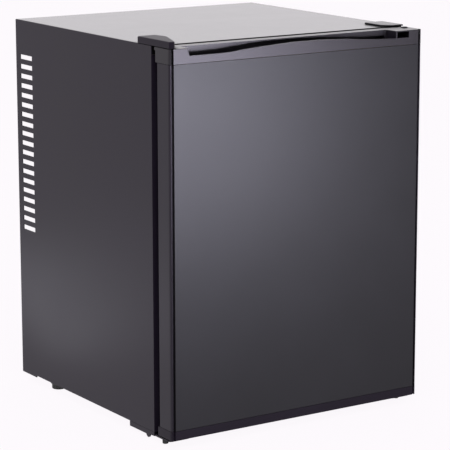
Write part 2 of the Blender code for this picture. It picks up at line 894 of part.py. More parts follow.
def stile_outline():
    """Cross-section of the left stile, from its rear return round the front and back inside."""
    rear = face_y(-SKIN_REAR)
    points = [(STILE_RETURN - HALF, rear), (-HALF, rear)]
    points += [(inset - HALF, FRONT_Y + depth) for inset, depth in STILE_FRONT]
    points += [(SHEET - HALF, rear - SHEET), (STILE_RETURN - HALF, rear - SHEET)]
    return points


def on_door(outline):
    """Outline along the pocket and down from the door's top, in world coordinates."""
    span = POCKET_TIP - POCKET_LEFT
    return [(POCKET_LEFT + share * span, DOOR_TOP - drop) for share, drop in outline]


def pocket_plan():
    """Plan of the finger pocket, its right end a quarter ellipse."""
    points = [(POCKET_LEFT, face_y(-POCKET_FRONT)), (POCKET_LEFT, face_y(-POCKET_RIM))]
    across = POCKET_END - POCKET_RIGHT
    along = POCKET_FRONT - POCKET_RIM
    for step in range(9):
        angle = math.pi / 2 * step / 8
        x = POCKET_RIGHT + across * math.sin(angle)
        y = face_y(-POCKET_FRONT) + along * math.cos(angle)
        points.append((x, y))
    return points


def corner_outline():
    """Plan of what a cap lacks at its left front corner, so that the stile's groove carries on."""
    edge = PANEL_INSET + 0.0003
    margin = 0.01
    points = list(STILE_FRONT[:7])
    points += [(edge - 0.0006, 0.0006), (edge, 0.0), (edge, -margin), (-margin, -margin)]
    points.append((-margin, STILE_FRONT[0][1]))
    return [(inset - HALF, FRONT_Y + depth) for inset, depth in points]


def cut_corners(item, low, high):
    """Shape both front corners of a cap like the stiles."""
    left = corner_outline()
    right = [(-x, y) for x, y in reversed(left)]
    cut(item, prism("left_corner", left, low - 0.01, high + 0.01))
    cut(item, prism("right_corner", right, low - 0.01, high + 0.01))


def make_top_cap():
    """Upper door moulding with the finger pocket, the pin hole and the spare hole."""
    outline = [
        (FRONT_Y, CAP_TOP_Z),
        (face_y(-CAP_REAR), CAP_TOP_Z),
        (face_y(-CAP_REAR), DOOR_TOP - CAP_LIP_HEIGHT),
        (face_y(-CAP_LIP_REAR), DOOR_TOP - CAP_LIP_HEIGHT),
        (face_y(-CAP_LIP_REAR), DOOR_TOP),
        (FRONT_Y, DOOR_TOP),
    ]
    item = prism("door_top_cap", outline, -HALF, HALF, black_plastic, AXIS, axis="X")
    round_edges(
        item,
        0.0007,
        lambda middle, way: middle.z > DOOR_TOP - 1e-5,
        segments=2,
    )
    floor = CAP_TOP_Z + POCKET_FLOOR
    above = DOOR_TOP + 0.01
    cut(item, prism("pocket", pocket_plan(), floor, above))
    cut_corners(item, CAP_TOP_Z, DOOR_TOP)
    notch = on_door(NOTCH_OUTLINE)
    notch = [(min(x, POCKET_END - 0.0002), z) for x, z in notch]
    cut(item, prism("notch", notch, FRONT_Y - 0.01, face_y(-POCKET_FRONT + 0.0002), axis="Y"))
    cell = box(
        "cell",
        (HALF - SIDE_CELL_INSETS[0], HALF - SIDE_CELL_INSETS[1]),
        (FRONT_Y - 0.01, face_y(-SIDE_CELL_REAR)),
        (DOOR_TOP - NOTCH_OUTLINE[3][1], DOOR_TOP - SIDE_CELL_ROOF),
    )
    cut(item, cell)
    behind = box(
        "behind",
        (POCKET_LEFT + 0.002, POCKET_RIGHT - 0.001),
        (face_y(-POCKET_RIM + LIP_THICKNESS), face_y(-POCKET_REAR)),
        (floor, DOOR_TOP - STRIP_THICKNESS),
    )
    cut(item, behind)
    under = [(POCKET_RIGHT - 0.001, floor), (POCKET_LEFT + 0.002, floor)]
    under += [(min(x, POCKET_RIGHT - 0.001), z) for x, z in on_door(LIP_OUTLINE)]
    cut(item, prism("under", under, face_y(-POCKET_RIM - 0.0003), face_y(-POCKET_RIM + 0.003), axis="Y"))
    reach = BUSH_RADIUS + HOLE_FIT
    depth = DOOR_TOP - BUSH_LENGTH - 0.002
    cut(item, turned("hole", ((depth, reach), (above, reach)), (AXIS_X, AXIS_Y), sides=32))
    spare = ((DOOR_TOP - 0.010, 0.0033), (above, 0.0033))
    cut(item, turned("hole", spare, (-AXIS_X, face_y(-0.020)), sides=24))
    smooth(item)
    return item


def make_bottom_cap():
    """Lower door moulding with the pin hole."""
    item = box(
        "door_bottom_cap",
        (-HALF, HALF),
        (FRONT_Y, face_y(-CAP_REAR)),
        (DOOR_BOTTOM, CAP_BOTTOM_Z),
        black_plastic,
        AXIS,
    )
    round_edges(
        item,
        0.0006,
        lambda middle, way: middle.z < DOOR_BOTTOM + 1e-5,
        segments=2,
    )
    cut_corners(item, DOOR_BOTTOM, CAP_BOTTOM_Z)
    reach = BUSH_RADIUS + HOLE_FIT
    top = CAP_BOTTOM_Z - 0.0015
    return cut(item, turned("hole", ((0.0, reach), (top, reach)), (AXIS_X, AXIS_Y), sides=32))


def make_gasket():
    """Magnetic door seal, one closed ring with a fold line round its outside."""
    outer = HALF - GASKET_INSET
    back = face_y(-GAP)
    front = face_y(-SKIN_REAR + GAP)
    low = 0.050
    high = CAP_TOP_Z - 0.001
    item = box("door_gasket", (-outer, outer), (front, back), (low, high), gasket_rubber, AXIS)
    inner = outer - GASKET_WIDTH
    window = box(
        "window",
        (-inner, inner),
        (front - 0.01, back + 0.01),
        (low + GASKET_WIDTH, high - GASKET_WIDTH + 0.0005),
    )
    cut(item, window)
    middle = (front + back) / 2
    fold = box("fold", (-0.3, 0.3), (middle - 0.0012, middle + 0.0012), (0.0, 0.6))
    core = box("core", (-outer + 0.003, outer - 0.003), (0.3, -0.3), (low + 0.003, high - 0.003))
    cut(fold, core)
    return cut(item, fold)


RACK_FLOORS = (0.095, 0.300)
RACK_HEIGHTS = (0.085, 0.065)
RACK_REACH = 0.055
RACK_WALL = 0.0022
LUG_WIDTH = 0.008
LUG_HEIGHT = 0.012
LUG_REACH = 0.0035
LUG_MIDDLE = -0.002
LUG_DROP = 0.022


def make_door_liner():
    """Inner door moulding: a flat plate, a raised dyke and lugs for the racks."""
    plate_half = HALF - STILE_RETURN - GAP
    item = box(
        "door_inner_liner",
        (-plate_half, plate_half),
        (face_y(-SKIN_REAR - 0.0017), face_y(-SKIN_REAR)),
        (PANEL_LOW, PANEL_HIGH),
        liner_plastic,
        AXIS,
    )
    outer = LINER_HALF - DYKE_INSET
    inner = outer - DYKE_WIDTH
    dyke = box(
        "dyke",
        (-outer, outer),
        (face_y(-SKIN_REAR - 0.001), face_y(DYKE_REACH)),
        (FLOOR_Z + 0.008, LINER_TOP - 0.008),
    )
    window = box(
        "window",
        (-inner, inner),
        (face_y(-SKIN_REAR), face_y(DYKE_REACH + 0.01)),
        (FLOOR_Z + 0.008 + DYKE_WIDTH, LINER_TOP - 0.008 - DYKE_WIDTH),
    )
    cut(dyke, window)
    fuse(item, dyke)
    for side in (-1, 1):
        for low, tall in zip(RACK_FLOORS, RACK_HEIGHTS):
            top = low + tall - LUG_DROP
            lug = box(
                "lug",
                (side * (inner + 0.002), side * (inner - LUG_REACH)),
                (face_y(LUG_MIDDLE - LUG_WIDTH / 2), face_y(LUG_MIDDLE + LUG_WIDTH / 2)),
                (top - LUG_HEIGHT, top),
            )
            fuse(item, lug)
    return item


def make_rack(name, low, tall):
    """Open door bin that drops over the lugs."""
    outer = LINER_HALF - DYKE_INSET - DYKE_WIDTH - 0.0008
    front = face_y(-SKIN_REAR + 0.0006)
    back = face_y(RACK_REACH)
    item = box(name, (-outer, outer), (front, back), (low, low + tall), rack_plastic)
    round_edges(
        item,
        0.010,
        lambda middle, way: abs(way.z) > 0.9 and middle.y > back - 1e-4,
        segments=4,
    )
    inner = outer - RACK_WALL
    hollow = prism(
        "hollow",
        [
            (-inner, front + RACK_WALL),
            (inner, front + RACK_WALL),
            (inner, back - 0.010),
            (inner - 0.003, back - 0.005),
            (inner - 0.0075, back - RACK_WALL),
            (-inner + 0.0075, back - RACK_WALL),
            (-inner + 0.003, back - 0.005),
            (-inner, back - 0.010),
        ],
        low + RACK_WALL,
        low + tall + 0.01,
    )
    cut(item, hollow)
    middle = face_y(LUG_MIDDLE)
    reach = LUG_WIDTH / 2 + GAP
    top = low + tall - LUG_DROP
    for side in (-1, 1):
        slot = box(
            "slot",
            (side * (outer + 0.001), side * (outer - 0.0045)),
            (middle - reach, middle + reach),
            (low - 0.001, top + GAP),
        )
        cut(item, slot)
    return item


def make_door():
    """All the pieces that swing on the door axis."""
    left = stile_outline()
    prism("left_door_stile", left, PANEL_LOW, PANEL_HIGH, door_steel, AXIS)
    prism("right_door_stile", mirrored(left), PANEL_LOW, PANEL_HIGH, door_steel, AXIS)
    for name in ("left_door_stile", "right_door_stile"):
        smooth(bpy.data.objects[name], 50.0)
    panel_half = HALF - PANEL_INSET
    panel = box(
        "door_front_panel",
        (-panel_half, panel_half),
        (FRONT_Y, FRONT_Y + SHEET),
        (PANEL_LOW, PANEL_HIGH),
        door_steel,
        AXIS,
    )
    round_edges(
        panel,
        0.0005,
        lambda middle, way: middle.y < FRONT_Y + 1e-5 and abs(way.z) > 0.9,
        segments=2,
    )
    make_top_cap()
    make_bottom_cap()
    core_half = HALF - CORE_INSET - GAP
    box(
        "door_foam_core",
        (-core_half, core_half),
        (FRONT_Y + SHEET + GAP, face_y(-SKIN_REAR - 0.0017 - GAP)),
        (PANEL_LOW, PANEL_HIGH),
        foam_yellow,
        AXIS,
    )
    make_door_liner()
    make_gasket()
    for name, low, tall in zip(("lower_door_rack", "upper_door_rack"), RACK_FLOORS, RACK_HEIGHTS):
        make_rack(name, low, tall)
    bore = PIN_RADIUS + HOLE_FIT
    spot = (AXIS_X, AXIS_Y)
    upper_low = DOOR_TOP - BUSH_LENGTH
    ring_tube("upper_hinge_bush", bore, BUSH_RADIUS, upper_low, DOOR_TOP, spot, rack_plastic, origin=AXIS)
    lower_top = DOOR_BOTTOM + 0.009
    ring_tube("lower_hinge_bush", bore, BUSH_RADIUS, DOOR_BOTTOM, lower_top, spot, rack_plastic, origin=AXIS)
    plug = (
        (DOOR_TOP - 0.008, 0.002),
        (DOOR_TOP - 0.007, 0.003),
        (DOOR_TOP + GAP, 0.003),
        (DOOR_TOP + GAP, 0.0046),
        (DOOR_TOP + 0.0009, 0.0046),
        (DOOR_TOP + 0.0014, 0.0036),
    )
    turned("door_hole_plug", plug, (-AXIS_X, face_y(-0.020)), hinge_plastic, sides=24, origin=AXIS)


make_door()


# Things inside the cabinet

def make_shelf(name, height):
    """Slotted shelf that lies on its ribs."""
    half = LINER_HALF - 0.0006
    front = face_y(SHELF_FRONT)
    back = LINER_BACK - SHELF_BACK_GAP
    low = height + RIB_THICKNESS + GAP
    item = box(name, (-half, half), (front, back), (low, low + SHELF_THICKNESS), shelf_wire)
    pitch = (2 * half - 2 * SHELF_BORDER) / SHELF_SLOTS
    for index in range(SHELF_SLOTS):
        middle = (index - (SHELF_SLOTS - 1) / 2) * pitch
        slot = box(
            "slot",
            (middle - pitch * 0.38, middle + pitch * 0.38),
            (front + SHELF_BORDER, back - SHELF_BORDER),
            (low - 0.01, low + SHELF_THICKNESS + 0.01),
        )
        cut(item, slot)
    return item


def make_evaporator():
    """Cold plate with upright fins and a block that passes through the rear wall."""
    fins = 11
    pitch = 0.0112
    half_fin = 0.0011
    base = LINER_BACK - GAP
    face = base - 0.006
    tip = base - 0.034
    points = [(-0.062, base), (-0.062, face)]
    for index in range(fins):
        middle = (index - (fins - 1) / 2) * pitch
        points += [
            (middle - half_fin, face),
            (middle - half_fin, tip),
            (middle + half_fin, tip),
            (middle + half_fin, face),
        ]
    points += [(0.062, face), (0.062, base)]
    item = prism("evaporator", points, BLOCK_MIDDLE_Z - 0.050, BLOCK_MIDDLE_Z + 0.050, aluminium)
    block = box(
        "block",
        (-BLOCK_HALF, BLOCK_HALF),
        (base - 0.001, BACK_PANEL_Y + 0.008),
        (BLOCK_MIDDLE_Z - BLOCK_HALF, BLOCK_MIDDLE_Z + BLOCK_HALF),
    )
    return fuse(item, block)


def make_drip_tray():
    """Open tray under the cold plate with a drain hole in its back."""
    low = DRAIN_Z - 0.007
    high = low + 0.0195
    front = LINER_BACK - 0.046
    back = LINER_BACK - GAP
    item = box("drip_tray", (-0.068, 0.068), (front, back), (low, high), rack_plastic)
    hollow = box(
        "hollow",
        (-0.0663, 0.0663),
        (front + 0.0017, back - 0.0017),
        (low + 0.0017, high + 0.01),
    )
    reach = DRAIN_RADIUS + HOLE_FIT
    hole = turned("hole", ((back - 0.01, reach), (back + 0.01, reach)), (DRAIN_X, DRAIN_Z), sides=24, axis="Y")
    return cut(item, hollow, hole)


def make_drain_tube():
    """Hollow tube that leads melt water out to the recess."""
    front = LINER_BACK - 0.005
    back = BACK_PANEL_Y + 0.016
    centre = (DRAIN_X, DRAIN_Z)
    item = turned("drain_tube", ((front, DRAIN_RADIUS), (back, DRAIN_RADIUS)), centre, rack_plastic, 20, "Y")
    bore = turned("bore", ((front - 0.01, 0.0028), (back + 0.01, 0.0028)), centre, sides=20, axis="Y")
    cut(item, bore)
    smooth(item)
    return item


KNOB_Y = 0.020
KNOB_Z = LINER_TOP - 0.038
HOUSING_X = LINER_HALF - 0.025


def make_thermostat():
    """Control housing on the right wall, its knob and the lamp lens below it."""
    item = box(
        "thermostat_housing",
        (HOUSING_X, LINER_HALF - GAP),
        (KNOB_Y - 0.030, KNOB_Y + 0.030),
        (KNOB_Z - 0.022, KNOB_Z + 0.022),
        liner_plastic,
    )
    round_edges(
        item,
        0.003,
        lambda middle, way: middle.x < HOUSING_X + 1e-5,
        segments=3,
    )
    spot = (KNOB_Y, KNOB_Z)
    hole = turned("hole", ((HOUSING_X - 0.01, 0.0028), (HOUSING_X + 0.008, 0.0028)), spot, sides=24, axis="X")
    cut(item, hole)
    profile = (
        (HOUSING_X - 0.012, 0.0095),
        (HOUSING_X - 0.011, 0.0105),
        (HOUSING_X - 0.004, 0.0110),
        (HOUSING_X - 0.003, 0.0140),
        (HOUSING_X - GAP, 0.0140),
        (HOUSING_X - GAP, 0.0025),
        (HOUSING_X + 0.007, 0.0025),
    )
    origin = (HOUSING_X, KNOB_Y, KNOB_Z)
    knob = turned("thermostat_knob", profile, spot, rack_plastic, sides=36, axis="X", origin=origin)
    ridge = box(
        "ridge",
        (HOUSING_X - 0.0145, HOUSING_X - 0.0118),
        (KNOB_Y - 0.0012, KNOB_Y + 0.0012),
        (KNOB_Z - 0.0015, KNOB_Z + 0.0088),
    )
    fuse(knob, ridge)
    smooth(knob)
    lens = box(
        "lamp_lens",
        (HOUSING_X + 0.003, LINER_HALF - 0.002),
        (KNOB_Y - 0.022, KNOB_Y + 0.022),
        (KNOB_Z - 0.031, KNOB_Z - 0.022 - GAP),
        clear_lens,
    )
    low = KNOB_Z - 0.031
    round_edges(lens, 0.0025, lambda middle, way: middle.z < low + 1e-5, segments=3)


make_shelf("lower_shelf", SHELF_HEIGHTS[0])
make_shelf("upper_shelf", SHELF_HEIGHTS[1])
make_evaporator()
make_drip_tray()
make_drain_tube()
make_thermostat()


# Absorption cooling unit in the recess

def make_condenser():
    """Cross pipe with a row of upright fins, in one turned-and-squared loft."""
    sides = 16
    start = EXCHANGER_X - 0.010
    end = BOILER_X + 0.012
    pitch = 0.0115
    fins = int((BOILER_X - EXCHANGER_X - 0.055) / pitch) + 1
    first = start + 0.032
    half_tall = 0.026
    half_deep = 0.022
    angles = [2 * math.pi * (step + 0.5) / sides for step in range(sides)]
    circle = [(PIPE_RADIUS * math.cos(a), PIPE_RADIUS * math.sin(a)) for a in angles]
    square = []
    for angle in angles:
        y = math.cos(angle)
        z = math.sin(angle)
        grow = 1.0 / max(abs(y), abs(z))
        square.append((y * grow * half_deep, z * grow * half_tall))
    sections = [(start, circle)]
    for index in range(fins):
        low = first + index * pitch
        sections += [(low, circle), (low, square), (low + 0.0016, square), (low + 0.0016, circle)]
    sections.append((end, circle))
    bm = bmesh.new()
    rings = []
    for x, section in sections:
        rings.append([bm.verts.new((x, UNIT_Y + y, CONDENSER_Z + z)) for y, z in section])
    for one, two in zip(rings[:-1], rings[1:]):
        for step in range(sides):
            after = (step + 1) % sides
            bm.faces.new((one[step], one[after], two[after], two[step]))
    bm.faces.new(rings[0])
    bm.faces.new(rings[-1])
    item = add_object("condenser", bm, aluminium)
    smooth(item)


def coil_path(rows, left, right, low, pitch, bends):
    """Points of a flat serpentine with round bends, from its lowest row upwards."""
    radius = pitch / 2
    points = []
    for row in range(rows):
        z = low + row * pitch
        ends = (left, right) if row % 2 == 0 else (right, left)
        points.append((ends[0], UNIT_Y, z))
        points.append((ends[1], UNIT_Y, z))
        if row < rows - 1:
            turn = 1 if row % 2 == 0 else -1
            for step in range(1, bends):
                angle = -math.pi / 2 + math.pi * step / bends
                x = ends[1] + turn * radius * math.cos(angle)
                points.append((x, UNIT_Y, z + radius + radius * math.sin(angle)))
    return points


COIL_PITCH = 0.036
COIL_LOW = 0.112


def make_unit():
    """Boiler, exchanger, absorber coil and vessel, and the two cross bars that hold them."""
    pipe_top = CONDENSER_Z - PIPE_RADIUS - GAP
    case_low = 0.075
    case_high = 0.330
    case_radius = 0.026
    spot = (BOILER_X, UNIT_Y)
    case = turned("boiler_case", ((case_low, case_radius), (case_high, case_radius)), spot, zinc_steel)
    hollow = turned("hollow", ((case_low - 0.01, 0.0245), (case_high - 0.0015, 0.0245)), spot)
    reach = 0.008 + HOLE_FIT
    hole = turned("hole", ((case_high - 0.01, reach), (case_high + 0.01, reach)), spot)
    cut(case, hollow, hole)
    smooth(case)
    turned("boiler_tube", ((case_low - 0.009, 0.008), (pipe_top, 0.008)), spot, black_pipe, 24)
    heater = (BOILER_X, UNIT_Y - 0.008 - 0.0045 - GAP)
    turned("heating_element", ((case_low - 0.012, 0.0045), (0.200, 0.0045)), heater, zinc_steel, 20)
    make_condenser()
    vessel_radius = 0.021
    vessel_z = COIL_LOW - PIPE_RADIUS - GAP - vessel_radius
    vessel_start = EXCHANGER_X - 0.005
    vessel_end = BOILER_X - case_radius - 0.016
    vessel_profile = (
        (vessel_start, vessel_radius * 0.38),
        (vessel_start + 0.003, vessel_radius * 0.71),
        (vessel_start + 0.008, vessel_radius * 0.95),
        (vessel_start + 0.015, vessel_radius),
        (vessel_end - 0.015, vessel_radius),
        (vessel_end - 0.008, vessel_radius * 0.95),
        (vessel_end - 0.003, vessel_radius * 0.71),
        (vessel_end, vessel_radius * 0.38),
    )
    turned("absorber_vessel", vessel_profile, (UNIT_Y, vessel_z), black_pipe, 32, "X")
    exchanger_radius = 0.010
    rows = 6
    left = EXCHANGER_X + exchanger_radius + GAP + COIL_PITCH / 2 + PIPE_RADIUS
    right = BOILER_X - case_radius - 0.003 - COIL_PITCH / 2 - PIPE_RADIUS
    path = coil_path(rows, left, right, COIL_LOW, COIL_PITCH, 8)
    path[-1] = (EXCHANGER_X + exchanger_radius + GAP, UNIT_Y, path[-1][2])
    swept_tube("absorber_coil", path, PIPE_RADIUS, black_pipe, 12)
    points = np.array(path)
    apart = COIL_PITCH - 2 * PIPE_RADIUS
    print("absorber coil rows", rows, "points", len(points), "least gap between rows", round(apart, 5))
    exchanger_low = vessel_z + vessel_radius + 0.004
    ends = ((exchanger_low, exchanger_radius), (pipe_top, exchanger_radius))
    turned("gas_heat_exchanger", ends, (EXCHANGER_X, UNIT_Y), black_pipe, 24)
    bar_half = INNER_HALF
    upper_y = UNIT_Y + 0.022 + GAP
    upper = CONDENSER_Z + 0.010
    box("upper_unit_bar", (-bar_half, bar_half), (upper_y, upper_y + 0.0015), (upper + 0.017, upper + 0.033), zinc_steel)
    lower_y = UNIT_Y + case_radius + GAP
    box("lower_unit_bar", (-bar_half, bar_half), (lower_y, lower_y + 0.0015), (0.088, 0.104), zinc_steel)


def make_control_box():
    """Electrical box on the recess floor, with the inlet for the mains lead."""
    low = BASE_TOP + GAP
    item = box(
        "control_box",
        (-0.075, 0.060),
        (BACK_PANEL_Y + SHEET + GAP, BACK_PANEL_Y + 0.052),
        (low, 0.058),
        black_plastic,
    )
    back = BACK_PANEL_Y + 0.052
    round_edges(item, 0.002, lambda middle, way: middle.y > back - 1e-5, segments=2)
    spot = (0.035, 0.038)
    hole = turned("hole", ((back - 0.010, 0.0063), (back + 0.01, 0.0063)), spot, sides=24, axis="Y")
    cut(item, hole)
    profile = (
        (back - 0.008, 0.006),
        (back + GAP, 0.006),
        (back + GAP, 0.0095),
        (back + 0.004, 0.0095),
        (back + 0.006, 0.007),
        (back + 0.012, 0.0055),
    )
    gland = turned("mains_inlet_gland", profile, spot, gasket_rubber, 24, "Y")
    bore = turned("bore", ((back - 0.004, 0.0034), (back + 0.02, 0.0034)), spot, sides=20, axis="Y")
    cut(gland, bore)
    smooth(gland)


make_unit()
make_control_box()
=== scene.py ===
# %% [markdown]
# # A minibar fridge, dressed for its picture
# The solids of this fridge already exist: a steel cabinet, a hinged door, shelves and a silent
# cooling unit in an open recess behind. This lesson loads them as a fixed frame, and then gives each
# one the finish of the real thing, adds the small round pieces that solids make badly, and lights the
# whole like a catalogue photograph. Everything is in metres, with +Z up and the door towards -Y.

# %% Load the fixed frame
import json
import math

import bmesh
import bpy
import numpy as np
from mathutils import Matrix, Vector


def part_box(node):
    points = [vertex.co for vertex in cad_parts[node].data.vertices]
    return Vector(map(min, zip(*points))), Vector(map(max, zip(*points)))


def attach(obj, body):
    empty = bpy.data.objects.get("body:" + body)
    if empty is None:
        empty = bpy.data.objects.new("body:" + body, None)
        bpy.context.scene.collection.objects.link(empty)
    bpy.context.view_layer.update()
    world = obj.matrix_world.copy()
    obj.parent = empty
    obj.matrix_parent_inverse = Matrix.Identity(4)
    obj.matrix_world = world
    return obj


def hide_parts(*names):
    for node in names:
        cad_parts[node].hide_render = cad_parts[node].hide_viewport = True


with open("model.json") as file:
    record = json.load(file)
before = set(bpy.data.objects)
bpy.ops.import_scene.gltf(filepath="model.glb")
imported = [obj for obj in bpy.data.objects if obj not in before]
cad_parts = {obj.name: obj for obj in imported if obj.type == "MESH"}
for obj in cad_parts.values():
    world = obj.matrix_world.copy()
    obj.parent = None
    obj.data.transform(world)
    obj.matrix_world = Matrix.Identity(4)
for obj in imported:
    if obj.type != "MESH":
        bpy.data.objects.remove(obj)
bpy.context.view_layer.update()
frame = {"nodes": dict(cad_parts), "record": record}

scene = bpy.context.scene


# %% [markdown]
# ## Surfaces from arrays
# A new piece is worked out as a grid of points: two parameters run along the rows and the columns,
# and numpy computes every point at once. One helper then turns the grid into a mesh, and closes it
# where the shape comes round to meet itself. A second one puts several grids into a single object.

# %% Helpers that turn grids of points into meshes
MERGE_GAP = 1e-6
SHARP_ANGLE = math.radians(38)


def grid_faces(rows, columns, wrap_rows=False, wrap_columns=False):
    """Quads between neighbours: corner (i, j), (i, j+1), (i+1, j+1), (i+1, j) for every cell."""
    last_row = rows if wrap_rows else rows - 1
    last_column = columns if wrap_columns else columns - 1
    i, j = np.meshgrid(np.arange(last_row), np.arange(last_column), indexing="ij")
    i, j = i.ravel(), j.ravel()
    after_i, after_j = (i + 1) % rows, (j + 1) % columns
    return np.stack([i * columns + j, i * columns + after_j,
                     after_i * columns + after_j, after_i * columns + j], axis=1)


def add_piece(name, parts, body, material, stands_for=(), smooth=True):
    """One object of one material from (points, faces) pairs, facing outwards and riding on a body."""
    points, faces, start = [], [], 0
    for part_points, part_faces in parts:
        points.append(part_points.reshape(-1, 3))
        faces.extend([int(corner) + start for corner in face] for face in part_faces)
        start += len(points[-1])
    mesh = bpy.data.meshes.new(name)
    mesh.from_pydata(np.concatenate(points).tolist(), [], faces)
    work = bmesh.new()
    work.from_mesh(mesh)
    bmesh.ops.remove_doubles(work, verts=work.verts, dist=MERGE_GAP)
    bmesh.ops.recalc_face_normals(work, faces=work.faces)
    work.to_mesh(mesh)
    work.free()
    if smooth:
        mesh.shade_smooth()
        mesh.set_sharp_from_angle(angle=SHARP_ANGLE)
    piece = bpy.data.objects.new(name, mesh)
    scene.collection.objects.link(piece)
    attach(piece, body)
    if stands_for:
        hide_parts(*stands_for)
    mesh.materials.append(material)
    return piece


def capped(rows, columns, points):
    """Tube faces round a grid whose rows are rings, with a flat face on the first and last ring."""
    ring = np.arange(columns)
    return points, [*grid_faces(rows, columns, wrap_columns=True), ring[::-1], (rows - 1) * columns + ring]


print("grid of 3 by 4 points has", len(grid_faces(3, 4)), "cells")


# %% [markdown]
# ## Shader sums written as Python
# A node tree is easier to read as an expression. One small class wraps a socket, so that adding or
# multiplying two of them adds the Math node that does it. A second class is the tree itself, and its
# main method adds any node: first the values or links of its sockets, then its settings.

# %% A number socket and a node tree
class Amount:
    """A number socket that Python's operators can work on."""

    def __init__(self, tree, socket):
        self.tree = tree
        self.socket = socket

    def sum_with(self, operation, first, second):
        return self.tree.add("ShaderNodeMath", {0: first, 1: second}, {"operation": operation})

    def __add__(self, other):
        return self.sum_with("ADD", self, other)

    def __radd__(self, other):
        return self.sum_with("ADD", other, self)

    def __rsub__(self, other):
        return self.sum_with("SUBTRACT", other, self)

    def __mul__(self, other):
        return self.sum_with("MULTIPLY", self, other)

    def at_least(self, other):
        return self.sum_with("MAXIMUM", self, other)

    def at_most(self, other):
        return self.sum_with("MINIMUM", self, other)


class Tree:
    """The nodes of a material or a world, and a method that adds any node to them."""

    def __init__(self, owner, output):
        owner.use_nodes = True
        self.nodes = owner.node_tree.nodes
        self.links = owner.node_tree.links
        self.surface = self.nodes[output].inputs["Surface"]

    def add(self, kind, values=None, settings=None, output=0):
        """A new node, given back as one of its outputs."""
        node = self.nodes.new(kind)
        for setting, value in (settings or {}).items():
            setattr(node, setting, value)
        for socket, value in (values or {}).items():
            self.feed(node.inputs[socket], value)
        return Amount(self, node.outputs[output])

    def feed(self, socket, value):
        """Link an amount to a socket, or write a plain value into it."""
        if isinstance(value, Amount):
            self.links.new(value.socket, socket)
        else:
            socket.default_value = value

    def of_kinds(self, *kinds):
        """1 for a ray of one of the named kinds, and 0 for any other."""
        rays = [self.add("ShaderNodeLightPath", output=f"Is {kind} Ray") for kind in kinds]
        found = rays[0]
        for ray in rays[1:]:
            found = found.at_least(ray)
        return found

    def show_mix(self, share, first, second):
        """Send two shaders to the output: all of the first at a share of 0, all of the second at 1."""
        self.feed(self.surface, self.add("ShaderNodeMixShader", {0: share, 1: first, 2: second}))


print("ready:", Amount.__name__, "and", Tree.__name__)


# %% [markdown]
# ## A material and its shorthands
# A material is such a tree with one Principled shader. Nearly every finish needs the same few nodes:
# the place on the object in metres, a noise, a ramp of two colours and a bump, so each gets a short
# name. Seams get painted shade by nearness: where walls come close, an occlusion node mixes in near-black.

# %% A material as a tree
# Painted shade: the near-black that seams and contact areas are mixed towards.
SEAM_SHADE = (0.002, 0.002, 0.002, 1.0)
SEAM_FORCE = 2.0


class Finish(Tree):
    """A material with one Principled shader."""

    def __init__(self, name, **constants):
        self.material = bpy.data.materials.new(name)
        super().__init__(self.material, "Material Output")
        principled = self.nodes["Principled BSDF"]
        self.inputs = principled.inputs
        self.shader = Amount(self, principled.outputs[0])
        for socket, value in constants.items():
            self.inputs[socket.replace("_", " ")].default_value = value

    def into(self, socket, value):
        self.feed(self.inputs[socket], value)

    def spots(self, scale=(1.0, 1.0, 1.0)):
        """Object coordinates in metres, stretched by a Mapping node."""
        where = self.add("ShaderNodeTexCoord", output="Object")
        return self.add("ShaderNodeMapping", {"Vector": where, "Scale": scale})

    def noise(self, where, scale, detail=2.0, roughness=0.5):
        return self.add("ShaderNodeTexNoise", {"Vector": where, "Scale": scale, "Detail": detail,
                                               "Roughness": roughness})

    def ramp(self, amount, *stops):
        """Colour that goes from one stop to the other, each a position and a colour."""
        node = self.nodes.new("ShaderNodeValToRGB")
        for element, (position, colour) in zip(node.color_ramp.elements, stops):
            element.position = position
            element.color = (*colour, 1.0)
        self.feed(node.inputs["Fac"], amount)
        return Amount(self, node.outputs["Color"])

    def bump(self, height, distance):
        return self.add("ShaderNodeBump", {"Height": height, "Distance": distance})

    def shade_seams(self, reach):
        """Mix towards a painted near-black shade where near walls hide the surface, as shade falls in a
        seam.
        """
        # Painted shade: occlusion darkens the surface where walls come close.
        clear = self.add("ShaderNodeAmbientOcclusion", {"Distance": reach}, {"samples": 6}, output="AO")
        painted_shade = self.add("ShaderNodeBsdfDiffuse", {"Color": SEAM_SHADE})
        self.show_mix(((1.0 - clear) * SEAM_FORCE).at_most(1.0), self.shader, painted_shade)


print("ready:", Finish.__name__)


# %% [markdown]
# ## Black enamel on steel
# The cabinet is pressed sheet with a baked black enamel. Up close such paint is never flat: it has
# a very fine skin like orange peel, a grain of colour that is finer still, and a broad thin veil of
# handling that makes the gloss uneven. Three noises at three sizes give just that. The top gets a
# harder, glossier coat, because the photograph shows it mirroring the pale room. A black surface
# shows its tint only in its gloss, so the plum of the door's side skins is set as a specular tint.

# %% Enamels for the cabinet and the door
PLUM_TINT = (1.0, 0.91, 1.04, 1.0)


def toned(colour, share):
    """A colour made darker or lighter by a share, and never brighter than white."""
    return tuple(min(1.0, channel * share) for channel in colour)


def enamel(name, colour, roughness, coat=0.0, peel=0.00002, seam=0.004, **constants):
    """Paint whose colour, gloss and skin vary at the sizes of grain, hand marks and orange peel."""
    finish = Finish(name, Coat_Roughness=0.12, Coat_IOR=1.5, **constants)
    where = finish.spots()
    skin = finish.noise(where, 950.0, 2.0, 0.55)
    veil = finish.noise(where, 9.0, 4.0, 0.6)
    grain = finish.noise(where, 2600.0, 1.0)
    tone = finish.ramp(veil * 0.7 + grain * 0.3, (0.30, toned(colour, 0.90)), (0.70, toned(colour, 1.12)))
    finish.into("Base Color", tone)
    finish.into("Roughness", roughness - 0.03 + veil * 0.06 + grain * 0.02)
    if coat:
        finish.into("Coat Weight", coat - 0.04 + veil * 0.08)
    finish.into("Normal", finish.bump(skin, peel))
    # Painted shade in seams and corners near other walls.
    finish.shade_seams(seam)
    return finish.material


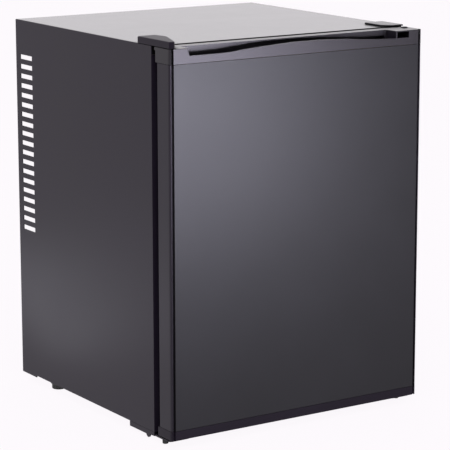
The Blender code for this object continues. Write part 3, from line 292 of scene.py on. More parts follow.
side_enamel = enamel("side_enamel", (0.013, 0.009, 0.018), 0.42, Specular_IOR_Level=0.20)
# On the top the painted shade reaches 20 mm, and darkens it around the hinge covers and at its front fold.
top_enamel = enamel("top_enamel", (0.032, 0.030, 0.035), 0.28, 0.69, 0.00001, seam=0.02)
door_enamel = enamel("door_enamel", (0.010, 0.009, 0.013), 0.38, Specular_IOR_Level=0.215)
stile_enamel = enamel("stile_enamel", (0.010, 0.008, 0.014), 0.38, Specular_IOR_Level=0.215,
                      Specular_Tint=PLUM_TINT)
print("enamels:", side_enamel.name, top_enamel.name, door_enamel.name, stile_enamel.name)


# %% [markdown]
# ## Moulded plastics and rubber
# Black mouldings leave a mould with a fine spark-eroded texture, which scatters light more than paint
# does. The pale liner is smooth polystyrene with a faint warmth. Rubber is duller still, and the
# pale racks are clearer and smoother. All of them share one recipe with other numbers. Where hands
# rub a moulding day after day its upward face turns glossy, so the recipe can raise its coat there.

# %% Plastics and rubber
def moulding(name, colour, roughness, texture, size, spread=0.10, coat=0.0, rubbed=0.0, seam=0.0,
             **constants):
    """Plastic with a fine mould texture, a soft drift of tone and a top that hands may have rubbed."""
    finish = Finish(name, Coat_Roughness=0.34 if rubbed else 0.15, **constants)
    where = finish.spots()
    fine = finish.noise(where, size, 3.0, 0.6)
    drift = finish.noise(where, 16.0, 3.0)
    dark, light = toned(colour, 1.0 - spread), toned(colour, 1.0 + spread)
    finish.into("Base Color", finish.ramp(drift * 0.6 + fine * 0.4, (0.30, dark), (0.70, light)))
    finish.into("Roughness", roughness - 0.04 + drift * 0.05 + fine * 0.04)
    if rubbed:
        facing = finish.add("ShaderNodeTexCoord", output="Normal")
        up = finish.add("ShaderNodeSeparateXYZ", {0: facing}, output="Z")
        finish.into("Coat Weight", up.at_least(0.0) * rubbed + (coat - 0.03) + drift * 0.06)
    elif coat:
        finish.into("Coat Weight", coat - 0.03 + drift * 0.06)
    finish.into("Normal", finish.bump(fine, texture))
    # Painted shade in seams, when a reach is given.
    if seam:
        finish.shade_seams(seam)
    return finish.material


cap_plastic = moulding("cap_plastic", (0.011, 0.009, 0.014), 0.36, 0.00003, 1500.0, coat=0.15,
                       rubbed=0.85, seam=0.008, Specular_IOR_Level=0.20,
                       Specular_Tint=(1.0, 0.95, 0.99, 1.0))
cover_plastic = moulding("cover_plastic", (0.010, 0.007, 0.014), 0.36, 0.00003, 1500.0,
                         Specular_IOR_Level=0.12, Specular_Tint=PLUM_TINT)
frame_plastic = moulding("frame_plastic", (0.016, 0.016, 0.017), 0.42, 0.00004, 1300.0,
                         seam=0.02, Specular_IOR_Level=0.30)
liner_white = moulding("liner_white", (0.63, 0.635, 0.63), 0.38, 0.000015, 420.0, 0.03, 0.1)
rack_clear = moulding("rack_clear", (0.72, 0.745, 0.76), 0.20, 0.00001, 300.0, 0.03, 0.3)
seal_rubber = moulding("seal_rubber", (0.020, 0.020, 0.021), 0.62, 0.00005, 900.0, 0.15, seam=0.02)
foot_rubber = moulding("foot_rubber", (0.022, 0.022, 0.023), 0.60, 0.00006, 700.0, 0.15)
print("mouldings:", cap_plastic.name, liner_white.name, seal_rubber.name)


# %% [markdown]
# ## Rigid foam
# The walls are filled with yellow polyurethane foam, which only shows where a panel is cut. It is a
# crowd of closed round cells, so a cell texture gives its pits and paints shade into them, and a slow
# noise stains it unevenly.

# %% The cells of rigid foam
def foam_finish(name, colour):
    """Cut polyurethane foam: packed round cells, with painted shade in their pits."""
    finish = Finish(name, Roughness=0.9)
    where = finish.spots()
    cells = finish.add("ShaderNodeTexVoronoi", {"Vector": where, "Scale": 650.0}, {"feature": "SMOOTH_F1"})
    stain = finish.noise(where, 22.0, 4.0)
    # Painted shade: the pits of the cells are darkened.
    pit_shade = toned(colour, 0.72)
    finish.into("Base Color", finish.ramp(cells * 0.6 + stain * 0.4, (0.15, pit_shade), (0.65, colour)))
    finish.into("Normal", finish.bump(cells, 0.0004))
    return finish.material


foam_yellow = foam_finish("foam_yellow", (0.66, 0.56, 0.33))
print("foam:", foam_yellow.name)


# %% [markdown]
# ## Bare metals and black pipe
# Zinc plating is a crowd of small crystals with a bluish cast, and aluminium fins keep the fine lines
# of the rolling mill. The pipes of the cooling unit are dipped in thin black lacquer, which lets the
# odd speck of brown through at the welds.

# %% Zinc, aluminium and lacquered pipe
def plated(name, colour, roughness, scale, stretch, spread):
    """Metal whose tone and gloss follow a noise drawn out along one direction."""
    finish = Finish(name, Metallic=1.0)
    lines = finish.noise(finish.spots(stretch), scale, 4.0, 0.6)
    cloud = finish.noise(finish.spots(), 35.0, 3.0)
    dark = toned(colour, 1.0 - spread)
    finish.into("Base Color", finish.ramp(lines * 0.6 + cloud * 0.4, (0.25, dark), (0.75, colour)))
    finish.into("Roughness", roughness - 0.08 + lines * 0.12 + cloud * 0.05)
    finish.into("Normal", finish.bump(lines, 0.00003))
    return finish.material


LACQUER = (0.016, 0.016, 0.017, 1.0)
RUST = (0.070, 0.034, 0.018, 1.0)


def lacquered_pipe(name):
    """Thin black lacquer over steel, with brown specks where a noise peaks."""
    finish = Finish(name, Coat_Roughness=0.2)
    where = finish.spots()
    fine = finish.noise(where, 500.0, 4.0, 0.65)
    patches = finish.noise(where, 28.0, 5.0, 0.6)
    rust = finish.ramp(fine * 0.45 + patches * 0.55, (0.60, (0.0, 0.0, 0.0)), (0.68, (1.0, 1.0, 1.0)))
    finish.into("Base Color", finish.add("ShaderNodeMix", {0: rust, 6: LACQUER, 7: RUST},
                                         {"data_type": "RGBA"}, output=2))
    finish.into("Roughness", 0.38 + patches * 0.15 + rust * 0.25)
    finish.into("Normal", finish.bump(fine, 0.00008))
    return finish.material


zinc_plate = plated("zinc_plate", (0.62, 0.64, 0.66), 0.34, 160.0, (1.0, 1.0, 1.0), 0.28)
fin_aluminium = plated("fin_aluminium", (0.74, 0.75, 0.76), 0.36, 240.0, (1.0, 1.0, 0.05), 0.16)
pipe_lacquer = lacquered_pipe("pipe_lacquer")
print("metals:", zinc_plate.name, fin_aluminium.name, pipe_lacquer.name)


# %% [markdown]
# ## Milky plastic for the lamp
# The lamp in the lining sits behind a small cover of milky plastic. It lets part of the light
# through, and fine bands pressed across it break up the rest. A wave texture draws those bands.

# %% The frosted lens of the lamp
def frosted_lens(name):
    """Milky plastic that lets some light through, with pressed prisms across it."""
    finish = Finish(name, Roughness=0.25, Transmission_Weight=0.35, IOR=1.49)
    where = finish.spots()
    prisms = finish.add("ShaderNodeTexWave", {"Vector": where, "Scale": 90.0}, {"bands_direction": "Y"})
    cloud = finish.noise(where, 120.0, 3.0)
    finish.into("Base Color", finish.ramp(cloud, (0.3, (0.80, 0.81, 0.80)), (0.7, (0.90, 0.90, 0.88))))
    finish.into("Normal", finish.bump(prisms, 0.0004))
    return finish.material


lens_frost = frosted_lens("lens_frost")
print("lens:", lens_frost.name)


# %% [markdown]
# ## A finish for every solid
# Each solid of the frame keeps its shape and only has its material slot filled. One table says which
# finish goes where, and the sum at the end shows that nothing was forgotten.

# %% Dress the solids
finishes = {
    side_enamel: ["left_side_panel", "right_side_panel", "base_panel", "back_panel",
                  "bottom_hinge_bracket", "right_foot_bracket"],
    top_enamel: ["top_panel"],
    door_enamel: ["door_front_panel"],
    stile_enamel: ["left_door_stile", "right_door_stile"],
    cap_plastic: ["door_top_cap", "right_hinge_cover", "control_box", "door_reed_sensor"],
    cover_plastic: ["left_hinge_cover", "door_bottom_cap", "door_hole_plug"],
    frame_plastic: ["front_frame"],
    liner_white: ["inner_liner", "door_inner_liner", "thermostat_housing", "lower_shelf", "upper_shelf"],
    rack_clear: ["lower_door_rack", "upper_door_rack", "drip_tray", "drain_tube", "thermostat_knob",
                 "upper_hinge_bush", "lower_hinge_bush"],
    seal_rubber: ["door_gasket", "mains_inlet_gland"],
    foam_yellow: ["insulation_foam", "door_foam_core"],
    zinc_plate: ["top_hinge_bracket", "top_hinge_pin", "bottom_hinge_pin", "left_bracket_screw",
                 "right_bracket_screw", "front_hinge_screw", "rear_hinge_screw", "boiler_case",
                 "heating_element", "upper_unit_bar", "lower_unit_bar"],
    pipe_lacquer: ["absorber_coil", "absorber_vessel", "gas_heat_exchanger", "boiler_tube"],
    fin_aluminium: ["evaporator", "condenser"],
    lens_frost: ["lamp_lens"],
    foot_rubber: ["front_left_foot", "front_right_foot", "rear_left_foot", "rear_right_foot"],
}
for finish, nodes in finishes.items():
    for node in nodes:
        for slot in frame["nodes"][node].material_slots:
            slot.material = finish
dressed = sum(len(nodes) for nodes in finishes.values())
print("dressed", dressed, "of", len(frame["nodes"]), "solids")


# %% [markdown]
# ## Rounded edges catch the light
# A solid has knife edges, and a render shows it: nothing real does. Sheet steel is bent round a
# small radius and plastic leaves its mould with soft corners, and those thin rounds are what draws
# the bright and dark lines along a product's edges. So a copy of each sharp solid is merged, its flat
# triangles are joined into whole faces, and a narrow bevel rounds every edge that is left.

# %% Copies of solids with rounded edges
JOIN_GAP = 2e-6
FLAT_WITHIN = math.radians(0.5)
EDGE_FROM = math.radians(32)
EDGE_STEPS = 2
FLAT_WEIGHT = 95
body_with = {node: body for body, nodes in frame["record"]["behaviour"]["bodies"].items() for node in nodes}


def softened(node, width):
    """Copy of a solid whose sharp edges are rounded to a width."""
    mesh = frame["nodes"][node].data.copy()
    mesh.name = node + "_rounded"
    work = bmesh.new()
    work.from_mesh(mesh)
    bmesh.ops.remove_doubles(work, verts=work.verts, dist=JOIN_GAP)
    bmesh.ops.dissolve_limit(work, angle_limit=FLAT_WITHIN, verts=work.verts, edges=work.edges)
    work.to_mesh(mesh)
    work.free()
    mesh.shade_smooth()
    piece = bpy.data.objects.new(node + "_rounded", mesh)
    scene.collection.objects.link(piece)
    rounding = piece.modifiers.new("edges", "BEVEL")
    rounding.width = width
    rounding.segments = EDGE_STEPS
    rounding.limit_method = "ANGLE"
    rounding.angle_limit = EDGE_FROM
    flat = piece.modifiers.new("flat_faces", "WEIGHTED_NORMAL")
    flat.mode = "FACE_AREA"
    flat.weight = FLAT_WEIGHT
    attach(piece, body_with[node])
    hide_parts(node)
    return piece


rounded = {
    0.0012: ["door_inner_liner"],
    0.0009: ["thermostat_housing", "control_box"],
    0.0007: ["door_top_cap", "door_bottom_cap", "lower_door_rack", "upper_door_rack", "drip_tray",
             "inner_liner", "front_frame"],
    0.0006: ["left_hinge_cover", "right_hinge_cover", "left_door_stile", "right_door_stile",
             "door_front_panel"],
    0.0004: ["left_side_panel", "right_side_panel", "top_panel", "evaporator",
             "bottom_hinge_bracket", "right_foot_bracket", "lower_unit_bar", "upper_unit_bar"],
}
for width, nodes in rounded.items():
    for node in nodes:
        softened(node, width)
print("rounded", sum(len(nodes) for nodes in rounded.values()), "solids")


# %% [markdown]
# ## Turned, carried and bent surfaces
# The small pieces that follow are round things: feet, a knob, wires, pipes and a soft seal. Each is
# one of three surfaces. A turned one spins a radius about an axis, a carried one moves a section
# round a rectangle with rounded corners, and a tube sets circles square to a bent path. All three
# are worked out as whole arrays, so that changing one number redraws the piece.

# %% Helpers for turned, carried and bent surfaces
def around(count):
    """Angles of points set evenly round a ring."""
    return np.arange(count) * 2 * math.pi / count


def turned(along, radius, centre, axis, sides):
    """Ring i has its centre at along[i] on the axis, and its points at radius (cos a, sin a)."""
    angle = around(sides)
    radius = np.asarray(radius, float)
    radius = radius[:, None] if radius.ndim == 1 else radius
    first = centre[0] + radius * np.cos(angle)
    second = centre[1] + radius * np.sin(angle)
    along = np.asarray(along, float)[:, None] + 0.0 * first
    order = {"X": (along, first, second), "Y": (first, along, second), "Z": (first, second, along)}[axis]
    return capped(len(along), sides, np.stack(order, axis=-1))


def flutes(sides, count, depth):
    """One factor per angle that dips by a depth and comes back, a number of times round the ring."""
    return 1.0 - depth * (0.5 + 0.5 * np.cos(count * around(sides)))


def rounded_rectangles(half, low, high, radius, steps=8):
    """Across and height of one ring per entry: each corner's centre plus radius (cos a, sin a)."""
    half, low, high, radius = np.broadcast_arrays(*[np.atleast_1d(np.asarray(value, float))[:, None]
                                                    for value in (half, low, high, radius)])
    turn = (np.arange(4)[:, None] * math.pi / 2 + np.linspace(0.0, math.pi / 2, steps)).ravel()
    right = np.repeat((1, -1, -1, 1), steps)
    up = np.repeat((1, 1, -1, -1), steps)
    across = right * (half - radius) + radius * np.cos(turn)
    height = (low + high) / 2 + up * ((high - low) / 2 - radius) + radius * np.sin(turn)
    return across, height


def bent(points, radius, steps=7):
    """Path whose corners become curves: (1-t)^2 start + 2t(1-t) corner + t^2 end."""
    points = np.asarray(points, float)
    corner = points[1:-1, None]
    behind = points[:-2, None] - corner
    ahead = points[2:, None] - corner
    start = corner + radius * behind / np.linalg.norm(behind, axis=2, keepdims=True)
    end = corner + radius * ahead / np.linalg.norm(ahead, axis=2, keepdims=True)
    share = np.linspace(0.0, 1.0, steps)[None, :, None]
    curve = (1 - share) ** 2 * start + 2 * share * (1 - share) * corner + share ** 2 * end
    return np.concatenate([points[:1], curve.reshape(-1, 3), points[-1:]])


def tube(path, radius, sides=12, reference=(0.0, 0.0, 1.0), closed=False):
    """Circles square to a path: point + radius (cos a side + sin a other)."""
    path = np.asarray(path, float)
    ahead = np.roll(path, -1, 0) - np.roll(path, 1, 0) if closed else np.gradient(path, axis=0)
    side = np.cross(ahead, reference)
    side /= np.linalg.norm(side, axis=1, keepdims=True)
    other = np.cross(side, ahead)
    other /= np.linalg.norm(other, axis=1, keepdims=True)
    angle = around(sides)[None, :, None]
    reach = np.broadcast_to(np.asarray(radius, float), (len(path),))[:, None, None]
    points = path[:, None] + reach * (np.cos(angle) * side[:, None] + np.sin(angle) * other[:, None])
    if closed:
        return points, grid_faces(len(path), sides, wrap_rows=True, wrap_columns=True)
    return capped(len(path), sides, points)


print("a ring of", rounded_rectangles(0.1, 0.0, 0.2, 0.01)[0].size, "points per rectangle")


# %% [markdown]
# ## The door seal
# A magnetic seal is an extruded strip welded into a frame. Its base sits in the door, its flat face
# holds the magnet, and between them the rubber folds like a bellows so that it can follow the cabinet.
# The section here waves in and out on both flanks, and is carried round the door once.

# %% The folded seal
FOLDS = 2.5
FOLD_MIDDLE, FOLD_DEPTH = 0.0016, 0.0014
STRIP_WIDTH = 0.0168
SEAL_CORNER = 0.007


def seal_surface(steps=52):
    """Flank inset = middle - depth cos(turns) from the door to the cabinet; the inner flank mirrors it."""
    low_corner, high_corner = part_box("door_gasket")
    depth = np.linspace(0.0, 1.0, steps)
    wave = FOLD_MIDDLE - FOLD_DEPTH * np.cos(depth * FOLDS * 2 * math.pi)
    inset = np.concatenate([wave, (STRIP_WIDTH - wave)[::-1]])
    place = low_corner[1] + np.concatenate([depth, depth[::-1]]) * (high_corner[1] - low_corner[1])
    across, height = rounded_rectangles(high_corner[0] - inset, low_corner[2] + inset,
                                        high_corner[2] - inset, np.maximum(SEAL_CORNER - inset, 0.0005), 7)
    points = np.stack([across, place[:, None] + 0.0 * across, height], axis=-1)
    return points, grid_faces(*across.shape, wrap_rows=True, wrap_columns=True)


seal = add_piece("folded_seal", [seal_surface()], "door", seal_rubber, ["door_gasket"])
print("seal faces:", len(seal.data.polygons))


# %% [markdown]
# ## Wire shelves
# The shelves are grilles of steel wire dipped in white plastic. A frame of thicker rod runs round
# the outside, two rods cross under the middle, and a row of thin wires is welded on top. The plastic
# closes over the cut ends as small domes, so every wire is a tube whose radius rounds off at its tips.

# %% Two grilles of coated wire
ROD = 0.0015
WIRE = 0.0010
WIRE_COUNT = 27
WIRE_MARGIN = 0.0085
CROSS_RODS = (0.33, 0.67)
coated_wire = moulding("coated_wire", (0.70, 0.70, 0.69), 0.30, 0.00002, 700.0, 0.04, 0.3)


def domed(start, end, radius, sides=8):
    """Straight wire from start to end whose radius follows a half circle at both tips."""
    start, end = np.asarray(start, float), np.asarray(end, float)
    length = np.linalg.norm(end - start)
    near = radius * (1 - np.cos(np.linspace(0.25, math.pi / 2, 4)))
    reach = radius * np.sin(np.linspace(0.25, math.pi / 2, 4))
    spots = np.concatenate([near, length - near[::-1]])
    path = start + (end - start) * spots[:, None] / length
    return tube(path, np.concatenate([reach, reach[::-1]]), sides)


def grille(node):
    """Closed frame rod, two cross rods and a row of wires from the front rod to the back rod."""
    low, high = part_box(node)
    half, front, back = high[0], low[1], high[1]
    bottom = low[2] + ROD
    across, depth = rounded_rectangles(half - ROD, front + ROD, back - ROD, 0.006)
    frame_path = np.stack([across[0], depth[0], np.full(across.size, bottom)], axis=1)
    parts = [tube(frame_path, ROD, 12, closed=True)]
    for share in CROSS_RODS:
        place = front + share * (back - front)
        parts.append(domed((-half + ROD, place, bottom), (half - ROD, place, bottom), ROD * 0.9, 10))
    top = bottom + ROD + WIRE * 0.9
    for place in np.linspace(-half + WIRE_MARGIN, half - WIRE_MARGIN, WIRE_COUNT):
        parts.append(domed((place, front + 0.0006, top), (place, back - 0.0006, top), WIRE))
    return parts


for node in ("lower_shelf", "upper_shelf"):
    shelf = add_piece(node + "_grille", grille(node), node, coated_wire, [node])
    print(shelf.name, "faces:", len(shelf.data.polygons))


# %% [markdown]
# ## The lining of the cabinet
# The inside is one sheet of polystyrene drawn over a mould, so its corners are generous curves, and
# only the ribs for the shelves stand out from it. A thin shell just inside the solid liner gives it
# those corners: a rectangle whose corner radius grows behind the front edge, and which closes in on
# itself at the back in a quarter turn.

# %% A drawn shell with soft corners
LINING_HALF, LINING_LOW, LINING_HIGH = 0.1750, 0.0700, 0.5100
LINING_FRONT, LINING_BACK = -0.1635, 0.0860
FRONT_CORNER, FULL_CORNER = 0.0012, 0.011
CORNER_GROWTH = 0.03


def lining_ring(inset, steps=9):
    """Rows from the front edge to the back: straight walls first, then a quarter turn inwards."""
    half, low, high = LINING_HALF - inset, LINING_LOW + inset, LINING_HIGH - inset
    depth = np.array([LINING_FRONT, -0.1600, -0.1540, -0.1460, -0.1300, -0.04, 0.04])
    grow = np.clip((depth - LINING_FRONT) / CORNER_GROWTH, 0.0, 1.0)
    turn = np.linspace(0.0, math.pi / 2, steps)
    inward = np.concatenate([0.0 * depth, FULL_CORNER * (1 - np.cos(turn))])
    quarter = LINING_BACK - inset - FULL_CORNER + FULL_CORNER * np.sin(turn)
    place = np.concatenate([depth, quarter])
    radius = np.concatenate([FRONT_CORNER + (FULL_CORNER - FRONT_CORNER) * grow * grow * (3 - 2 * grow),
                             np.maximum(FULL_CORNER - FULL_CORNER * (1 - np.cos(turn)), 0.0006)])
    across, height = rounded_rectangles(half - inward, low + inward, high - inward, radius, steps)
    return np.stack([across, place[:, None] + 0.0 * across, height], axis=-1)


def lining_surface():
    """Two nested rows of rings, 0.8 mm apart, joined by a rim in front and closed by the back walls."""
    inner, outer = lining_ring(0.0010), lining_ring(0.0002)
    rows, columns = inner.shape[:2]
    size = rows * columns
    sides = grid_faces(rows, columns, wrap_columns=True)
    j = np.arange(columns)
    after = (j + 1) % columns
    rim = np.stack([j, after, size + after, size + j], axis=1)
    backs = [j + size - columns, j + 2 * size - columns]
    return np.concatenate([inner, outer]), [*sides, *(sides + size), *rim, *backs]


lining = add_piece("drawn_lining", [lining_surface()], "cabinet", liner_white)
print("lining faces:", len(lining.data.polygons))


# %% [markdown]
# ## The thermostat
# The knob has fluted sides for wet fingers, a raised pointer and a wide skirt. Plain numbers round it
# say how cold it gets, printed on the housing one eighth of a turn apart, which is how far the
# pointer moves between them. They are text made into a mesh, which stays crisp from close by.

# %% Knob and dial numbers
MM = 0.001
KNOB_MIDDLE = (0.020, 0.472)
HOUSING_FACE = 0.150
KNOB_FLUTES = 20
POINTER_LONG = 0.0101
NUMBER_SIZE = 0.0056
NUMBER_RADIUS = 0.0178
NUMBER_COUNT = 7


def knob_surface(sides=120):
    """Turned profile of shaft, skirt and grip; only the grip's rings are multiplied by the flutes."""
    away = MM * np.array([-7.0, 0.3, 0.3, 0.7, 2.6, 3.1, 3.4, 10.5, 11.5, 12.0, 12.0, 11.8])
    reach = MM * np.array([2.5, 2.5, 13.9, 14.0, 14.0, 13.5, 11.2, 10.6, 10.1, 9.0, 6.2, 5.0])
    grip = np.array([0, 0, 0, 0, 0, 0, 1, 1, 1, 0, 0, 0])[:, None]
    radius = reach[:, None] * (1 - grip * (1 - flutes(sides, KNOB_FLUTES, 0.09)))
    return turned(HOUSING_FACE - away, radius, KNOB_MIDDLE, "X", sides)


def pointer_surface():
    """Raised bar on the knob: rings of one size along it, which shrink to very little at both tips."""
    share = np.linspace(0.0, 1.0, 15)[:, None]
    angle = around(16)[None, :]
    swell = np.sqrt(np.maximum(1 - (2 * share - 1) ** 6, 0.02))
    height = KNOB_MIDDLE[1] - 0.0015 + POINTER_LONG * share + 0.0 * angle
    across = KNOB_MIDDLE[0] + 0.0012 * swell * np.cos(angle)
    away = HOUSING_FACE - 0.0122 - 0.0020 * swell * np.sin(angle)
    return capped(15, 16, np.stack([away, across, height], axis=-1))


def number_mesh(words, middle):
    """Flat text made a mesh, then turned to face the room and moved to its place on the housing."""
    curve = bpy.data.curves.new("number_" + words, "FONT")
    curve.body = words
    curve.size = NUMBER_SIZE
    curve.extrude = 0.00006
    curve.align_x = curve.align_y = "CENTER"
    holder = bpy.data.objects.new("number_" + words, curve)
    scene.collection.objects.link(holder)
    bpy.context.view_layer.update()
    mesh = bpy.data.meshes.new_from_object(holder.evaluated_get(bpy.context.evaluated_depsgraph_get()))
    bpy.data.objects.remove(holder)
    corners = np.zeros(len(mesh.vertices) * 3)
    mesh.vertices.foreach_get("co", corners)
    flat = corners.reshape(-1, 3)
    placed = np.stack([HOUSING_FACE - 0.00004 - flat[:, 2], middle[0] - flat[:, 0],
                       middle[1] + flat[:, 1]], axis=1)
    return placed, [list(face.vertices) for face in mesh.polygons]


knob = add_piece("fluted_knob", [knob_surface(), pointer_surface()], "knob", rack_clear,
                 ["thermostat_knob"])
print_ink = moulding("print_ink", (0.035, 0.037, 0.042), 0.45, 0.00001, 2500.0, 0.12)
turns = around(8)[:NUMBER_COUNT]
middles = np.stack([KNOB_MIDDLE[0] + NUMBER_RADIUS * np.sin(turns),
                    KNOB_MIDDLE[1] + NUMBER_RADIUS * np.cos(turns)], axis=1)
labels = [number_mesh(str(index), middle) for index, middle in enumerate(middles)]
numbers = add_piece("dial_numbers", labels, "cabinet", print_ink, smooth=False)
print("knob faces:", len(knob.data.polygons), "number faces:", len(numbers.data.polygons))


# %% [markdown]
# ## The cover of the lamp
# The cover has pressed prisms that spread the light. It is drawn as one sheet of heights, a crown
# that falls away at the edges with a saw of prisms cut into it, and a flat top closes it.

# %% Prisms over the lamp
LENS_PRISMS = 7.5


def lens_surface(columns=61, rows=25):
    """Height = crown of both edges, less a saw of prisms along the lamp; the flat top closes it."""
    low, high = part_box("lamp_lens")
    u = np.linspace(-1.0, 1.0, rows)[:, None]
    v = np.linspace(-1.0, 1.0, columns)[None, :]
    x = (low[0] + high[0]) / 2 + u * (high[0] - low[0]) / 2 + 0.0 * v
    y = (low[1] + high[1]) / 2 + v * (high[1] - low[1]) / 2 + 0.0 * u
    crown = (np.maximum(1 - np.abs(u) ** 8, 0.0) * np.maximum(1 - np.abs(v) ** 14, 0.0)) ** 0.35
    prisms = np.abs((v * LENS_PRISMS) % 1.0 - 0.5) * 0.0012 * (np.abs(u) < 0.86) * (np.abs(v) < 0.93)
    under = high[2] - (high[2] - low[2]) * (0.12 + 0.88 * crown) + prisms
    grid = grid_faces(rows, columns)
    edge = np.concatenate([np.arange(columns), np.arange(1, rows) * columns + columns - 1,
                           (rows - 1) * columns + np.arange(columns - 2, -1, -1),
                           np.arange(rows - 2, 0, -1) * columns])
    after = np.roll(edge, -1)
    rim = np.stack([edge, after, after + rows * columns, edge + rows * columns], axis=1)
    points = np.concatenate([np.stack([x, y, under], axis=-1).reshape(-1, 3),
                             np.stack([x, y, high[2] + 0.0 * x], axis=-1).reshape(-1, 3)])
    return points, np.concatenate([grid, grid[:, ::-1] + rows * columns, rim])


lens_cover = add_piece("prism_lens", [lens_surface()], "cabinet", lens_frost, ["lamp_lens"])
print("lens faces:", len(lens_cover.data.polygons))


# %% [markdown]
# ## Feet and screws
# The feet behind are rubber cones with moulded flutes, and the small ones in front are turned by hand
# to level the fridge, so their rims are knurled. The screws have domed heads with a cross-shaped pit,
# drawn as one height over a disc: a crown, less a pit where both distances are small.

# %% Fluted feet and cross-headed screws
FLARE_TOP = 0.0139
FOOT_FLUTES, RIM_FLUTES = 16, 18
SCREW_SEAT = 0.0100


def box_middle(low, high):
    """Middle of a box across and in depth."""
    return (low[0] + high[0]) / 2, (low[1] + high[1]) / 2


def rear_foot(node, sides=80):
    """Profile of tread, waist and flared top; the waist's rings carry the flutes."""
    low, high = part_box(node)
    top = FLARE_TOP
    along = np.array([0.0, 0.0004, 0.0012, 0.0060, 0.0072, top - 0.0026, top - 0.0008, top, top, high[2]])
    reach = MM * np.array([9.2, 10.1, 10.5, 10.5, 11.2, 14.1, 14.5, 14.3, 2.5, 2.5])
    waist = np.array([0, 0, 1, 1, 0.6, 0, 0, 0, 0, 0])[:, None]
    radius = reach[:, None] * (1 - waist * (1 - flutes(sides, FOOT_FLUTES, 0.07)))
    return turned(along, radius, box_middle(low, high), "Z", sides)


def front_foot(node, sides=72):
    """Short knurled cylinder with a chamfer at both ends and its stud above."""
    low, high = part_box(node)
    along = np.array([0.0, 0.0003, 0.0010, 0.0070, 0.0078, 0.0080, 0.0080, high[2]])
    reach = MM * np.array([3.4, 3.9, 4.2, 4.2, 3.8, 3.5, 2.5, 2.5])
    rim = np.array([0, 0, 1, 1, 0, 0, 0, 0])[:, None]
    radius = reach[:, None] * (1 - rim * (1 - flutes(sides, RIM_FLUTES, 0.10)))
    return turned(along, radius, box_middle(low, high), "Z", sides)


def cross_head(spot, reach=0.0036, tall=0.0040, sides=40):
    """Depth below the seat = tall sqrt(1 - 0.6 (r/R)^2) - pit; the pit is a cross with sloped walls."""
    rings = np.concatenate([np.linspace(0.02, 1.0, 15), [1.0]])[:, None] * reach
    angle = around(sides)[None, :]
    first, second = rings * np.cos(angle), rings * np.sin(angle)
    narrow, far = np.minimum(abs(first), abs(second)), np.maximum(abs(first), abs(second))
    pit = 0.0013 * np.clip((0.0007 - narrow) / 0.0003, 0, 1) * np.clip((0.0024 - far) / 0.0005, 0, 1)
    crown = tall * np.sqrt(1 - 0.6 * (rings / reach) ** 2) - pit
    crown[-1] = 0.0
    points = np.stack([spot[0] + first, spot[1] + second, SCREW_SEAT - crown], axis=-1)
    return capped(len(rings), sides, points)


low_pieces = []
for side in ("left", "right"):
    for name, maker, node in (("fluted_foot_" + side, rear_foot, f"rear_{side}_foot"),
                              ("knurled_foot_" + side, front_foot, f"front_{side}_foot")):
        low_pieces.append(add_piece(name, [maker(node)], "cabinet", foot_rubber, [node]))
    low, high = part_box(f"{side}_bracket_screw")
    middle = box_middle(low, high)
    shank = turned([SCREW_SEAT - 0.0001, 0.0200, high[2]], [0.0020, 0.0020, 0.0012], middle, "Z", 20)
    low_pieces.append(add_piece(side + "_bracket_screw_head", [cross_head(middle), shank], "cabinet",
                                zinc_plate, [f"{side}_bracket_screw"]))
print("feet and screws:", len(low_pieces), "pieces")


# %% [markdown]
# ## The cooling unit behind
# An absorption unit is one closed circuit of black steel tube: a boiler in a zinc case, a finned
# condenser, a coil and a vessel. The solids hold those main parts. What ties them together are thin
# bent pipes with a ripple of weld round every joint, and those are added here as tubes along paths.
# A tube needs a reference direction that its path never runs along, so each path names its own.

# %% Link pipes and weld beads
UNIT_PLANE = 0.172
BOILER_MIDDLE = 0.112
EXCHANGER_MIDDLE = -0.150
RIPPLES = 22
BEND = 0.006
LEVEL, TILTED = (0.0, 1.0, 0.0), (0.13, 0.31, 0.94)


def weld_bead(middle, radius, along, fat=0.0011, steps=66):
    """Ring round a pipe whose thickness ripples many times, as a hand-fed weld does."""
    angle = around(steps)
    level = 0.0 * angle
    ring, reference = {"X": ((level, np.cos(angle), np.sin(angle)), (1.0, 0.0, 0.0)),
                       "Z": ((np.cos(angle), np.sin(angle), level), (0.0, 0.0, 1.0))}[along]
    path = np.asarray(middle) + radius * np.stack(ring, axis=1)
    return tube(path, fat * (1 + 0.2 * np.cos(RIPPLES * angle)), 8, reference, closed=True)


link_paths = [
    (0.0030, LEVEL, [(0.066, UNIT_PLANE, 0.0835), (0.078, UNIT_PLANE, 0.0835), (0.078, UNIT_PLANE, 0.0590),
                     (BOILER_MIDDLE, UNIT_PLANE, 0.0590), (BOILER_MIDDLE, UNIT_PLANE, 0.0680)]),
    (0.0045, TILTED, [(-0.012, 0.137, 0.4400), (-0.012, 0.1455, 0.4400), (-0.100, 0.1455, 0.4250),
                      (EXCHANGER_MIDDLE, 0.1550, 0.4250), (EXCHANGER_MIDDLE, 0.1660, 0.4250)]),
    (0.0030, TILTED, [(-0.148, 0.1640, 0.4600), (-0.130, 0.1500, 0.4440), (-0.060, 0.1450, 0.4440),
                      (-0.004, 0.1450, 0.4580), (-0.004, 0.1370, 0.4580)]),
    (0.0030, TILTED, [(-0.156, UNIT_PLANE, 0.1160), (-0.170, UNIT_PLANE, 0.1160),
                      (-0.170, UNIT_PLANE, 0.0840), (-0.152, UNIT_PLANE, 0.0840)]),
]
pipes = [tube(bent(points, BEND), radius, 12, reference) for radius, reference, points in link_paths]
bead_spots = [(BOILER_MIDDLE, 0.4672, 0.0083, "Z"), (EXCHANGER_MIDDLE, 0.4672, 0.0102, "Z"),
              (-0.1405, 0.2920, 0.0072, "X"), (0.0688, 0.0835, 0.0036, "X"),
              (BOILER_MIDDLE, 0.0664, 0.0036, "Z"), (BOILER_MIDDLE, 0.3310, 0.0083, "Z"),
              (-0.1535, 0.0840, 0.0036, "X"), (-0.1600, 0.1160, 0.0036, "X")]
welds = [weld_bead((across, UNIT_PLANE, height), radius, along)
         for across, height, radius, along in bead_spots]
